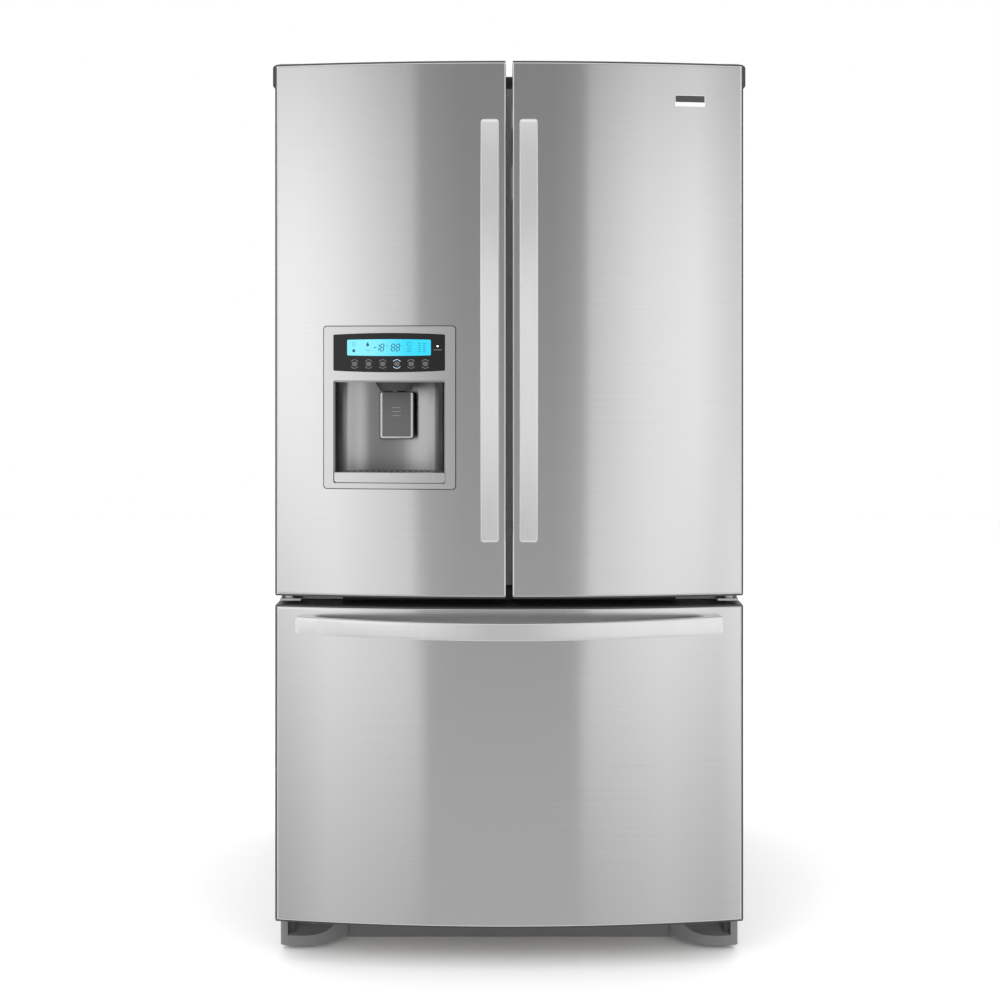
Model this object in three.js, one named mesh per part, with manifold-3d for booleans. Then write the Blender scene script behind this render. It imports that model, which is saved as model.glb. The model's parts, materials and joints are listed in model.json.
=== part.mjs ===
// A french door refrigerator with a bottom freezer drawer and an in-door water and ice dispenser.
//
// Millimetres. +X is to the right of someone facing the doors, +Y points from the doors to the wall
// behind, and +Z is up. The origin is on the floor, under the middle of the whole object.
// Depths are measured back from the case's front face with the function back().

import * as THREE from 'three';
import { mergeVertices } from 'three/addons/utils/BufferGeometryUtils.js';
import Module from 'manifold-3d';

const wasm = await Module();
wasm.setup();

// ---------------------------------------------------------------- driving dimensions

const DOOR_WIDTH = 908; // across both doors, and across the drawer
const HALF = DOOR_WIDTH / 2;
const CASE_HALF = 452;
const CASE_TOP = 1730;
const CASE_BOTTOM = 35;
const CASE_DEPTH = 730;
const DOOR_TOP = 1740;
const DOOR_BOTTOM = 711;
const DRAWER_TOP = 693;
const DRAWER_BOTTOM = 80;
const DOOR_GAP = 12; // between the two doors
const GASKET_GAP = 12; // between the case's front face and the back of a door
const DOOR_EDGE = 50; // a door's thickness at its hinge side
const BULGE = 33; // how far the fronts swell from the sides to the middle
const HANDLE_REACH = 60; // from the front's highest point to a handle's face
const DEPTH = CASE_DEPTH + GASKET_GAP + DOOR_EDGE + BULGE + HANDLE_REACH;

const CASE_FRONT = CASE_DEPTH / -1 + DEPTH / 2;
const back = (depth) => CASE_FRONT + depth; // row Y at a depth behind the case's front face
const DOOR_BACK = back(-GASKET_GAP);
const APEX = DOOR_BACK - DOOR_EDGE - BULGE;
const FRONT_RADIUS = (HALF * HALF + BULGE * BULGE) / (2 * BULGE);

const GAP = 0.3; // between pieces that touch
const SHEET = 1; // case steel
const SKIN = 1.2; // stainless door skin
const LINER = 2.5; // plastic liners
const WALL = 3; // bins, drawers and trays
const CORNER = 5; // vertical edges of the door skins

// Inside of the two compartments
const FRIDGE = { half: 406, bottom: 745, top: 1695, depth: 600 };
const FREEZER = { half: 400, bottom: 130, top: 640, depth: 435, step: 375, upperDepth: 600 };
const MACHINE = { front: 478, top: 332 }; // compressor space, behind and below the freezer
const FLANGE_HALF = 427.7; // liner flanges meet the case's front flanges here
const INSULATION_BOTTOM = 62;

const PIN = { x: -429, depth: -37, radius: 5, bore: 5.6 }; // left door's hinge axis
const HANDLE = { x: -37, width: 34, low: 820, high: 1626, thick: 13, end: 18, post: 36 };
const BAR = { half: 412, low: 642, high: 674.5 }; // drawer handle

const DISPENSER = {
  x: -230,
  left: -358.5,
  right: -101.5,
  low: 919,
  high: 1233.5,
  corner: 7,
  proud: 3,
  holeMargin: 7,
  window: { left: -338.5, right: -122.5, low: 1147, high: 1216, swell: 3 },
  recess: { left: -338.5, right: -122.5, low: 931, high: 1128 },
  wellDepth: 94,
  floor: 944,
  lip: 951,
};
const PADDLE = { x: -222, width: 64, high: 1104, low: 1013, thick: 7, front: -306 };
const SPOUT = { x: -222, y: -327, top: 1125.2, low: 1098 };

// ---------------------------------------------------------------- materials

const paint = (color, roughness, metalness = 0) =>
  new THREE.MeshStandardMaterial({ color, roughness, metalness });
const STEEL = paint(0xc3c4c6, 0.3, 1);
const HANDLE_STEEL = paint(0xd4d5d6, 0.25, 1);
const CASE_PAINT = paint(0x6d6f72, 0.5, 0.3);
const GALVANISED = paint(0x9b9da0, 0.5, 0.8);
const DARK_PLASTIC = paint(0x3b3c3e, 0.55);
const GREY_PLASTIC = paint(0x707274, 0.5);
const WHITE_PLASTIC = paint(0xf1f2f2, 0.4);
const CLEAR_PLASTIC = paint(0xdfe8ea, 0.15);
const SILVER_PLASTIC = paint(0xc8c9ca, 0.3, 0.6);
const WELL_PLASTIC = paint(0x8f9092, 0.35, 0.5);
const BLACK_GLASS = paint(0x17181a, 0.1);
const FOAM = paint(0xd9c98a, 0.9);
const RUBBER = paint(0xb9babb, 0.8);
const BLACK_PAINT = paint(0x141516, 0.5, 0.4);
const FINS = paint(0x303234, 0.6, 0.7);
const ZINC = paint(0xa9abad, 0.4, 0.9);

// ---------------------------------------------------------------- shape helpers

function solid(geometry) {
  const bare = geometry.clone();
  bare.deleteAttribute('normal');
  bare.deleteAttribute('uv');
  const merged = mergeVertices(bare, 1e-4);
  return new wasm.Manifold(
    new wasm.Mesh({
      numProp: 3,
      vertProperties: merged.attributes.position.array,
      triVerts: new Uint32Array(merged.index.array),
    }),
  );
}

function geometryOf(made) {
  const mesh = made.getMesh();
  const geometry = new THREE.BufferGeometry();
  geometry.setAttribute('position', new THREE.BufferAttribute(mesh.vertProperties, 3));
  geometry.setIndex(new THREE.BufferAttribute(mesh.triVerts, 1));
  return geometry;
}

const cut = (geometry, ...tools) =>
  geometryOf(tools.reduce((body, tool) => body.subtract(solid(tool)), solid(geometry)));
const join = (geometry, ...others) =>
  geometryOf(others.reduce((body, other) => body.add(solid(other)), solid(geometry)));
const common = (a, b) => geometryOf(solid(a).intersect(solid(b)));

// A box between two corners, given as pairs along each axis.
function box([x0, x1], [y0, y1], [z0, z1]) {
  const geometry = new THREE.BoxGeometry(x1 - x0, y1 - y0, z1 - z0);
  return geometry.translate((x0 + x1) / 2, (y0 + y1) / 2, (z0 + z1) / 2);
}

// The same, with its depths given behind the case's front face.
const block = (x, [d0, d1], z) => box(x, [back(d0), back(d1)], z);

const outline = (points) => new THREE.Shape(points.map(([a, b]) => new THREE.Vector2(a, b)));

function extrude(points, length) {
  return new THREE.ExtrudeGeometry(outline(points), { depth: length, bevelEnabled: false });
}

// Prisms standing on a plan (x, y), along X from a side view (y, z), and along Y from a front view.
const upright = (plan, [z0, z1]) => extrude(plan, z1 - z0).translate(0, 0, z0);
const across = (side, [x0, x1]) =>
  extrude(side, x1 - x0)
    .applyMatrix4(new THREE.Matrix4().set(0, 0, 1, 0, 1, 0, 0, 0, 0, 1, 0, 0, 0, 0, 0, 1))
    .translate(x0, 0, 0);
const deep = (front, [y0, y1]) =>
  extrude(front, y1 - y0)
    .rotateX(Math.PI / 2)
    .translate(0, y1, 0);

function arc([cx, cy], radius, from, to, steps) {
  return Array.from({ length: steps + 1 }, (_, i) => {
    const angle = from + ((to - from) * i) / steps;
    return [cx + radius * Math.cos(angle), cy + radius * Math.sin(angle)];
  });
}

function roundedRectangle([x0, x1], [y0, y1], radius, steps = 3) {
  const quarter = Math.PI / 2;
  return [
    ...arc([x1 - radius, y1 - radius], radius, 0, quarter, steps),
    ...arc([x0 + radius, y1 - radius], radius, quarter, 2 * quarter, steps),
    ...arc([x0 + radius, y0 + radius], radius, 2 * quarter, 3 * quarter, steps),
    ...arc([x1 - radius, y0 + radius], radius, 3 * quarter, 4 * quarter, steps),
  ];
}

function frame(outer, inner) {
  const shape = outline(outer);
  shape.holes.push(new THREE.Path(inner.map(([a, b]) => new THREE.Vector2(a, b))));
  return shape;
}

// A rectangular ring in the plane of a door, such as a gasket or a liner's flange.
function ring(outer, inner, [y0, y1]) {
  return new THREE.ExtrudeGeometry(frame(outer, inner), { depth: y1 - y0, bevelEnabled: false })
    .rotateX(Math.PI / 2)
    .translate(0, y1, 0);
}

// A cylinder along an axis, from one end to the other.
function rod(axis, [u, v], radius, [from, to], steps = 20) {
  const geometry = new THREE.CylinderGeometry(radius, radius, to - from, steps);
  const middle = (from + to) / 2;
  if (axis === 'x') return geometry.rotateZ(Math.PI / 2).translate(middle, u, v);
  if (axis === 'y') return geometry.translate(u, middle, v);
  return geometry.rotateX(Math.PI / 2).translate(u, v, middle);
}

// ---------------------------------------------------------------- the swelling door front

// Row Y of the front at x, moved inwards by inset.
const frontAt = (x, inset = 0) =>
  APEX + FRONT_RADIUS - Math.sqrt((FRONT_RADIUS - inset) ** 2 - x * x);

// The plan of a door from its left back corner round the front to its right back corner.
function doorPlan([x0, x1], inset, backY, steps = 12) {
  const radius = CORNER - inset;
  const centre = (x) => [x, frontAt(x, inset + radius)];
  const left = centre(x0 + inset + radius);
  const right = centre(x1 - inset - radius);
  const towards = ([x, y]) => Math.atan2(y - (APEX + FRONT_RADIUS), x);
  const front = Array.from({ length: steps - 1 }, (_, i) => {
    const x = left[0] + ((right[0] - left[0]) * (i + 1)) / steps;
    return [x, frontAt(x, inset)];
  });
  return [
    [x0 + inset, backY],
    ...arc(left, radius, -Math.PI, towards(left), 3),
    ...front,
    ...arc(right, radius, towards(right), 0, 3),
    [x1 - inset, backY],
  ];
}

function skin(sides, heights) {
  const inner = doorPlan(sides, SKIN, DOOR_BACK).reverse();
  return upright([...doorPlan(sides, 0, DOOR_BACK), ...inner], heights);
}

const core = (sides, heights) => upright(doorPlan(sides, SKIN + GAP, DOOR_BACK), heights);

// A slab that follows the door front between two insets.
function frontBand([x0, x1], [outer, inner], heights, steps = 8) {
  const along = Array.from({ length: steps + 1 }, (_, i) => x0 + ((x1 - x0) * i) / steps);
  const face = along.map((x) => [x, frontAt(x, outer)]);
  const rear = along.reverse().map((x) => [x, frontAt(x, inner)]);
  return upright([...face, ...rear], heights);
}

// ---------------------------------------------------------------- case

function sidePanel() {
  const edge = -CASE_HALF;
  const plan = [
    [edge, back(0)],
    [edge, back(CASE_DEPTH)],
    [edge + 12, back(CASE_DEPTH)],
    [edge + 12, back(CASE_DEPTH - SHEET)],
    [edge + SHEET, back(CASE_DEPTH - SHEET)],
    [edge + SHEET, back(SHEET)],
    [edge + 24, back(SHEET)],
    [edge + 24, back(0)],
  ];
  return upright(plan, [CASE_BOTTOM, CASE_TOP - SHEET - GAP]);
}

function topPanel() {
  const lid = block([-CASE_HALF, CASE_HALF], [0, CASE_DEPTH], [CASE_TOP - SHEET, CASE_TOP]);
  const flange = block([-FLANGE_HALF, FLANGE_HALF], [0, SHEET], [1712, CASE_TOP - SHEET / 2]);
  return join(lid, flange);
}

function backPanel() {
  const plate = block([-450.7, 450.7], [CASE_DEPTH - 2.5, CASE_DEPTH - 1.5], [331, 1728.7]);
  const ribs = [-280, 0, 280].map((x) =>
    block([x - 20, x + 20], [CASE_DEPTH - 2, CASE_DEPTH - 0.5], [420, 1640]),
  );
  return join(plate, ...ribs);
}

function fridgeLiner() {
  const { half, bottom, top, depth } = FRIDGE;
  const outer = roundedRectangle([-half - LINER, half + LINER], [bottom - LINER, top + LINER], 20);
  const inner = roundedRectangle([-half, half], [bottom, top], 18);
  const tub = deep(outer, [back(0), back(depth + LINER)]);
  const flange = block([-FLANGE_HALF, FLANGE_HALF], [0, LINER], [bottom - LINER, 1711.7]);
  return cut(join(tub, flange), deep(inner, [back(-1), back(depth)]));
}

// The freezer's side view, grown by a margin: it is deeper above the compressor space.
function freezerSide(margin, frontDepth) {
  const { bottom, top, depth, step, upperDepth } = FREEZER;
  return [
    [back(frontDepth), bottom - margin],
    [back(depth + margin), bottom - margin],
    [back(depth + margin), step - margin],
    [back(upperDepth + margin), step - margin],
    [back(upperDepth + margin), top + margin],
    [back(frontDepth), top + margin],
  ];
}

function freezerLiner() {
  const { half, top } = FREEZER;
  const tub = across(freezerSide(LINER, 0), [-half - LINER, half + LINER]);
  const flange = block([-FLANGE_HALF, FLANGE_HALF], [0, LINER], [64, top + LINER]);
  const hollow = across(freezerSide(0, -1), [-half, half]);
  const ledges = [-1, 1].flatMap((side) =>
    [382, 413].map((z) =>
      block([side * 398 - 2.5, side * 398 + 2.5], [30, 430], [z, z + 5]),
    ),
  );
  return join(cut(join(tub, flange), hollow), ...ledges);
}

function caseFoam() {
  const { half, bottom, top, depth } = FRIDGE;
  const grown = LINER + GAP;
  const whole = block([-450.7, 450.7], [LINER + GAP, 727.2], [INSULATION_BOTTOM, 1728.7]);
  const fridge = block(
    [-half - grown, half + grown],
    [0, depth + grown],
    [bottom - grown, top + grown],
  );
  const freezer = across(freezerSide(grown, 0), [-FREEZER.half - grown, FREEZER.half + grown]);
  const machine = block([-460, 460], [MACHINE.front, 800], [0, MACHINE.top]);
  const rail = block([-428, 428], [0, 30 + GAP], [640, 744]);
  const grille = block([-460, 460], [0, 61], [0, 77]);
  return cut(whole, fridge, freezer, machine, rail, grille);
}

function centerRail() {
  const body = block([-FLANGE_HALF, FLANGE_HALF], [0, 30], [642.8, 742.2]);
  const groove = block([-FLANGE_HALF - 1, FLANGE_HALF + 1], [-1, 2], [684, 686]);
  return cut(body, groove);
}

function basePan() {
  const plate = block([-448, 448], [482, 723], [40, 43]);
  const parts = [-1, 1].flatMap((side) => {
    const span = (near, far) => (side < 0 ? [-far, -near] : [near, far]);
    return [
      block(span(430, 448), [60, 490], [40, 58]),
      block(span(369, 373), [672, 708], [10, 42]),
      block(span(391, 395), [672, 708], [10, 42]),
      rod('x', [back(690), 22], 4, span(370, 394), 12),
    ];
  });
  const bar = block([-448, 448], [60, 96], [40, 46]);
  const legHoles = [-400, 400].map((x) => rod('z', [x, back(78)], 6.6, [30, 60], 16));
  const rollerHoles = [-382, 382].map((x) => block([x - 8.9, x + 8.9], [660, 721], [38, 46]));
  return cut(join(plate, bar, ...parts), ...legHoles, ...rollerHoles);
}

// Bullnose leg covers joined by a set-back kick plate, as one moulding.
function legCover(thickness) {
  const top = 76;
  const nose = [
    [-450.7 + thickness, back(60)],
    [-450.7 + thickness, back(6 + thickness)],
    [-445 + thickness, back(-5 + thickness)],
    [-428, back(-10.5 + thickness)],
    [-404, back(-12 + thickness)],
    [-380, back(-8 + thickness)],
    [-358, back(4 + thickness)],
    [-338 - thickness, back(24 + thickness)],
    [-322 - thickness, back(42 + thickness)],
    [-322 - thickness, back(60)],
  ];
  const slope = [
    [back(-40), 29 - thickness],
    [back(-12), 29 - thickness],
    [back(3), 34 - thickness],
    [back(41), top - thickness],
    [back(41), 200],
    [back(-40), 200],
  ];
  const bottom = thickness ? -10 : 10;
  return cut(upright(nose, [bottom, top - thickness]), across(slope, [-500, -300]));
}

function baseGrille() {
  const left = cut(legCover(0), legCover(3), block([-449, -325], [48, 80], [-10, 90]));
  const right = geometryOf(solid(left).mirror([1, 0, 0]));
  const plate = block([-330, 330], [42, 45], [3, 76]);
  const lip = block([-330, 330], [42, 52], [73, 76]);
  return join(left, right, plate, lip);
}

function rearCover() {
  const plate = block([-438, 438], [723.5, 725], [46, 326]);
  const slots = [];
  for (const middle of [-200, 200]) {
    for (let row = 0; row < 7; row += 1) {
      const low = 90 + row * 26;
      slots.push(block([middle - 110, middle + 110], [700, 740], [low, low + 9]));
    }
  }
  const gland = rod('y', [-385, 290], 15, [back(724), back(729.5)], 20);
  const bore = rod('y', [-385, 290], 5, [back(700), back(740)], 16);
  return cut(join(cut(plate, ...slots), gland), bore);
}

// ---------------------------------------------------------------- hinges

function topHinge() {
  const side = [
    [back(-50), 1741],
    [back(-50), 1744],
    [back(12), 1744],
    [back(12), 1733.3],
    [back(95), 1733.3],
    [back(95), CASE_TOP + GAP],
    [back(3), CASE_TOP + GAP],
    [back(3), 1741],
  ];
  const pin = rod('z', [PIN.x, back(PIN.depth)], PIN.radius, [1722, 1742]);
  return join(across(side, [-447, -407]), pin);
}

function hingeCover() {
  const outer = [
    [back(-28), 1744.4],
    [back(-28), 1748],
    [back(10), 1756],
    [back(40), 1762],
    [back(104), 1762],
    [back(112), 1755],
    [back(112), CASE_TOP + GAP],
    [back(3.5), CASE_TOP + GAP],
    [back(3.5), 1744.4],
  ];
  const inner = [
    [back(-25.5), 1744.3],
    [back(-25.5), 1746.2],
    [back(10), 1753.5],
    [back(40), 1759.5],
    [back(103), 1759.5],
    [back(109.5), 1754],
    [back(109.5), CASE_TOP],
    [back(3.4), CASE_TOP],
    [back(3.4), 1744.3],
  ];
  return cut(across(outer, [-451, -366]), across(inner, [-448.5, -368.5]));
}

function centerHinge() {
  const arm = block([-446, -406], [-50, -GAP], [699, 703]);
  const plate = block([-446, -330], [-3.3, -GAP], [694, 709]);
  const washer = rod('z', [PIN.x, back(PIN.depth)], 9, [702, 709.5]);
  const pin = rod('z', [PIN.x, back(PIN.depth)], PIN.radius, [702, 726]);
  return join(arm, plate, washer, pin);
}

// ---------------------------------------------------------------- compressor space

function compressor() {
  const profile = [
    [0, 56], [62, 56], [84, 68], [92, 92], [92, 132], [96, 132], [96, 140],
    [92, 140], [92, 178], [84, 204], [60, 222], [26, 230], [0, 231],
  ].map(([r, z]) => new THREE.Vector2(r, z));
  const shell = new THREE.LatheGeometry(profile, 24).rotateX(Math.PI / 2);
  const foot = box([-100, 100], [-72, 72], [50, 57]);
  const grommets = [-1, 1].flatMap((a) =>
    [-1, 1].map((b) => rod('z', [a * 86, b * 58], 10, [43.3, 51], 12)),
  );
  const terminal = box([-30, 30], [-112, -80], [110, 170]);
  return join(shell, foot, terminal, ...grommets);
}

function condenser() {
  const fins = cut(
    block([66, 300], [505, 695], [43.3, 232]),
    ...Array.from({ length: 14 }, (_, i) =>
      block([72 + i * 16, 83 + i * 16], [500, 700], [52, 224]),
    ),
  );
  const hole = rod('x', [back(600), 138], 80, [40, 70], 24);
  const shroud = cut(block([50, 67], [505, 695], [43.3, 232]), hole);
  const strut = block([50, 54], [592, 608], [50, 228]);
  const motor = rod('x', [back(600), 138], 22, [28, 52], 20);
  const shaft = rod('x', [back(600), 138], 3, [2, 30], 12);
  return join(fins, shroud, strut, motor, shaft);
}

function fan() {
  const hub = rod('x', [0, 0], 20, [-9, 9], 20);
  const blade = box([-1.5, 1.5], [-20, 20], [14, 74]).rotateZ(0.6);
  const blades = Array.from({ length: 5 }, (_, i) => blade.clone().rotateX((i * 2 * Math.PI) / 5));
  return cut(join(hub, ...blades), rod('x', [0, 0], 3.4, [-10, 10], 12));
}

// ---------------------------------------------------------------- wheels and feet

function levelingLeg() {
  const profile = [
    [0, 0], [19, 0], [20, 1.5], [20, 6], [8, 9], [8, 20], [6, 21], [6, 58], [0, 58],
  ].map(([r, z]) => new THREE.Vector2(r, z));
  const stem = new THREE.LatheGeometry(profile, 24).rotateX(Math.PI / 2);
  return join(stem, rod('z', [0, 0], 12, [10, 19], 6));
}

const roller = () => cut(rod('x', [0, 0], 22, [-8, 8], 28), rod('x', [0, 0], 4.4, [-9, 9], 16));

// ---------------------------------------------------------------- inside the fridge

function airDuct() {
  const plan = [
    [-95, back(599.7)],
    [-80, back(579)],
    [80, back(579)],
    [95, back(599.7)],
  ];
  const slots = Array.from({ length: 6 }, (_, i) =>
    block([-60, 60], [570, 586], [1040 + i * 108, 1050 + i * 108]),
  );
  return cut(upright(plan, [1000, 1665]), ...slots);
}

const SHELF = { width: 394, front: 130, rear: 570, thick: 5 };

// One half-width cantilever shelf, with its glass top at z = 0 and its left edge at x = 0.
function shelf() {
  const { width, front, rear, thick } = SHELF;
  const slab = block([0, width], [front, rear], [-thick, 0]);
  const nosing = block([0, width], [front - 6, front + 6], [-16, 3]);
  const bracket = [
    [back(rear), -thick / 2],
    [back(rear), -58],
    [back(rear - 20), -58],
    [back(front + 4), -14],
    [back(front + 4), -thick / 2],
  ];
  const brackets = [0, width - 4].map((x) => across(bracket, [x, x + 4]));
  return join(slab, nosing, ...brackets);
}

function crisperCover() {
  const slab = block([-402, 402], [150, 574], [965, 972]);
  const nosing = block([-402, 402], [144, 156], [952, 975]);
  const divider = block([-5, 5], [200, 574], [748, 966]);
  return join(slab, nosing, divider);
}

// An open-topped bin with rounded corners on the side away from the door.
function tub([x0, x1], [d0, d1], [z0, z1], radius, wall = WALL) {
  const plan = (inset) => {
    const r = radius - inset;
    const quarter = Math.PI / 2;
    return [
      [x0 + inset, back(d0 + inset)],
      [x1 - inset, back(d0 + inset)],
      ...arc([x1 - radius, back(d1 - radius)], r, 0, quarter, 3),
      ...arc([x0 + radius, back(d1 - radius)], r, quarter, 2 * quarter, 3),
    ];
  };
  return cut(upright(plan(0), [z0, z1]), upright(plan(wall), [z0 + wall, z1 + 1]));
}

function crisper() {
  const body = cut(
    block([-398, -8], [190, 570], [752, 945]),
    block([-398 + WALL, -8 - WALL], [200, 570 - WALL], [752 + WALL, 960]),
  );
  const pull = block([-300, -106], [178, 192], [918, 924]);
  return join(body, pull);
}

// ---------------------------------------------------------------- doors

const LEFT = [-HALF, -DOOR_GAP / 2];
const CORE_HEIGHTS = [DOOR_BOTTOM + 1, DOOR_TOP - 1];

// The raised rim on the inside of a door, which holds the bins.
function dyke([x0, x1], [z0, z1]) {
  const wall = 14;
  const outer = roundedRectangle([x0, x1], [z0, z1], 16);
  const inner = roundedRectangle([x0 + wall, x1 - wall], [z0 + wall, z1 - wall], 6);
  return ring(outer, inner, [DOOR_BACK - 2, back(30)]);
}

function hingeBores() {
  const at = [PIN.x, back(PIN.depth)];
  return [rod('z', at, PIN.bore, [1719, 1745]), rod('z', at, PIN.bore, [700, 729])];
}

function dispenserHole() {
  const { left, right, low, high, holeMargin } = DISPENSER;
  const front = [
    [left + holeMargin, low + holeMargin],
    [right - holeMargin, low + holeMargin],
    [right - holeMargin, high - holeMargin],
    [left + holeMargin, high - holeMargin],
  ];
  return deep(front, [APEX - 10, APEX + 45]);
}

function leftDoorLiner() {
  const { recess, window, wellDepth } = DISPENSER;
  const hump = block([-390, -67], [-14, 25], [890, 1190]);
  const wellPocket = box(
    [recess.left - LINER - 1, recess.right + LINER + 1],
    [APEX - 10, frontAt(DISPENSER.x) + wellDepth + LINER + 1],
    [recess.low - LINER - 1, recess.high + LINER + 1],
  );
  const panelPocket = box(
    [window.left - 6, window.right + 6],
    [APEX - 10, APEX + 40],
    [window.low - 6, window.high + 6],
  );
  const whole = join(core(LEFT, CORE_HEIGHTS), dyke([-395, -62], [757, 1683]), hump);
  return cut(whole, dispenserHole(), wellPocket, panelPocket, ...hingeBores());
}

function rightDoorLiner() {
  const bores = hingeBores().map((bore) => bore.translate(-2 * PIN.x, 0, 0));
  const whole = join(core([DOOR_GAP / 2, HALF], CORE_HEIGHTS), dyke([30, 395], [757, 1683]));
  return cut(whole, ...bores);
}

const gasketRing = ([x0, x1], [z0, z1]) =>
  ring(
    roundedRectangle([x0, x1], [z0, z1], 6),
    roundedRectangle([x0 + 14, x1 - 14], [z0 + 14, z1 - 14], 2),
    [back(-GASKET_GAP + GAP), back(-1)],
  );

// The bowed bar's outline from the side: an arc for each face, and a post at each end.
// Positions run along the bar from its middle, and heights stand out from the surface under it.
function bowedBar(half, surface) {
  const { thick, end, post } = HANDLE;
  const steps = 20;
  const bow = HANDLE_REACH - end + (surface(half) - surface(0));
  const face = (s) => surface(half) - end - bow * (1 - (s / half) ** 2);
  const from = (limit) =>
    Array.from({ length: steps + 1 }, (_, i) => -limit + (2 * limit * i) / steps);
  const outer = from(half).map((s) => [s, face(s)]);
  const inner = from(half - post)
    .reverse()
    .map((s) => [s, face(s) + thick]);
  const foot = (s) => [s, surface(s) - GAP];
  return [
    ...outer,
    foot(half),
    foot(half - post),
    ...inner,
    foot(-half + post),
    foot(-half),
  ];
}

function bevelled(points, width) {
  const bevel = 3;
  const shape = outline(points);
  return new THREE.ExtrudeGeometry(shape, {
    depth: width - 2 * bevel,
    bevelThickness: bevel,
    bevelSize: 2,
    bevelOffset: -2,
    bevelSegments: 2,
  }).translate(0, 0, bevel);
}

// The vertical handle, with its length along Z.
function doorHandle() {
  const { x, width, low, high } = HANDLE;
  const side = bowedBar((high - low) / 2, () => frontAt(x)).map(([s, y]) => [y, s]);
  return bevelled(side, width)
    .applyMatrix4(new THREE.Matrix4().set(0, 0, 1, 0, 1, 0, 0, 0, 0, 1, 0, 0, 0, 0, 0, 1))
    .translate(x - width / 2, 0, (low + high) / 2);
}

// The drawer's handle, with its length along X.
const drawerHandle = () =>
  bevelled(bowedBar(BAR.half, (x) => frontAt(x)), BAR.high - BAR.low).translate(0, 0, BAR.low);

// ---------------------------------------------------------------- dispenser

// A window's outline with its top and bottom edges swelling out in the middle.
function barrel([x0, x1], [z0, z1], swell, steps = 8) {
  const across8 = Array.from({ length: steps + 1 }, (_, i) => i / steps);
  const lift = (t) => swell * (1 - (2 * t - 1) ** 2);
  return [
    ...across8.map((t) => [x0 + (x1 - x0) * t, z0 - lift(t)]),
    ...across8.reverse().map((t) => [x0 + (x1 - x0) * t, z1 + lift(t)]),
  ];
}

function dispenserFrame() {
  const { left, right, low, high, corner, proud, holeMargin, window, recess } = DISPENSER;
  const flange = common(
    frontBand([left, right], [-proud - GAP, -GAP], [low, high]),
    deep(roundedRectangle([left, right], [low, high], corner), [APEX - 30, APEX + 40]),
  );
  const inside = holeMargin + GAP;
  const body = frontBand(
    [left + inside, right - inside],
    [-1, 9],
    [low + inside, high - inside],
  );
  const panelHole = deep(
    barrel([window.left, window.right], [window.low, window.high], window.swell),
    [APEX - 30, APEX + 60],
  );
  const recessHole = box([recess.left, recess.right], [APEX - 30, APEX + 60], [
    recess.low,
    recess.high,
  ]);
  return cut(join(flange, body), panelHole, recessHole);
}

function controlPanel() {
  const { window } = DISPENSER;
  const outer = deep(
    barrel(
      [window.left + GAP, window.right - GAP],
      [window.low + GAP, window.high - GAP],
      window.swell,
    ),
    [APEX - 30, APEX + 60],
  );
  const band = frontBand([window.left - 5, window.right + 5], [-2, 14], [1120, 1225]);
  return common(outer, band);
}

// The recess that a glass stands in: a tub on its side with a hollow curved back.
function dispenserWell() {
  const { recess, wellDepth, floor, lip, x } = DISPENSER;
  const front = frontAt(x);
  const half = (recess.right - recess.left) / 2;
  const plan = (inset, start) => {
    const steps = 10;
    const sweep = Array.from({ length: steps + 1 }, (_, i) => 1 - (2 * i) / steps);
    const rear = sweep.map((t) => [
      x + t * (half - inset),
      front + wellDepth - inset - 26 * Math.abs(t) ** 3,
    ]);
    return [[x - half + inset, start], [x + half - inset, start], ...rear];
  };
  const outside = upright(plan(GAP, front + 9.6), [recess.low + GAP, recess.high - GAP]);
  const hollow = upright(plan(LINER, front - 30), [floor, recess.high - LINER]);
  const tray = frontBand(
    [recess.left + GAP, recess.right - GAP],
    [-1.5, 12],
    [recess.low + GAP, lip],
  );
  return join(cut(outside, hollow), tray);
}

function spout() {
  const profile = [[0, SPOUT.low], [20, SPOUT.low], [40, SPOUT.top], [0, SPOUT.top]].map(
    ([r, z]) => new THREE.Vector2(r, z),
  );
  const cone = new THREE.LatheGeometry(profile, 20).rotateX(Math.PI / 2);
  return cone.scale(1, 0.62, 1).translate(SPOUT.x, SPOUT.y, 0);
}

function paddle() {
  const { x, width, high, low, thick, front } = PADDLE;
  const plate = box([x - width / 2, x + width / 2], [front, front + thick], [low, high]);
  const face = box(
    [x - width / 2 + 6, x + width / 2 - 6],
    [front - 1, front + 2],
    [low + 6, high + 1],
  );
  const grips = [1052, 1060, 1068].map((z) =>
    box([x - 8, x + 8], [front + 1, front + 3], [z, z + 2]),
  );
  return join(cut(plate, face), ...grips);
}

// ---------------------------------------------------------------- things on the doors

function iceCompartment() {
  const shell = block([-378, -79], [-GASKET_GAP + GAP, 95], [1195, 1665]);
  const seam = ring(
    roundedRectangle([-366, -91], [1207, 1653], 12),
    roundedRectangle([-363, -94], [1210, 1650], 10),
    [back(93), back(100)],
  );
  const grip = block([-110, -100], [86, 100], [1400, 1460]);
  return cut(shell, seam, grip);
}

function dairyBox() {
  const shell = block([45, 380], [-GASKET_GAP + GAP, 80], [1530, 1640]);
  return cut(shell, block([45 + WALL, 380 - WALL], [-GASKET_GAP + 5, 90], [1533, 1637]));
}

function dairyLid() {
  const side = [
    [back(81), 1528],
    [back(91), 1534],
    [back(94), 1560],
    [back(94), 1615],
    [back(91), 1638],
    [back(85), 1644],
    [back(81), 1644],
    [back(81), 1641],
    [back(84), 1640],
    [back(88), 1635],
    [back(91), 1614],
    [back(91), 1561],
    [back(88), 1537],
    [back(81), 1531],
  ];
  return across(side, [44, 381]);
}

// The hinged bar on the left door that backs the gap between the doors.
function mullionFlap() {
  const bar = block([-44, 0], [1.3, 25], [752, 1690]);
  const grooves = [-30, -16].map((x) => block([x, x + 2], [0, 3], [750, 1700]));
  return cut(bar, ...grooves);
}

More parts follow.
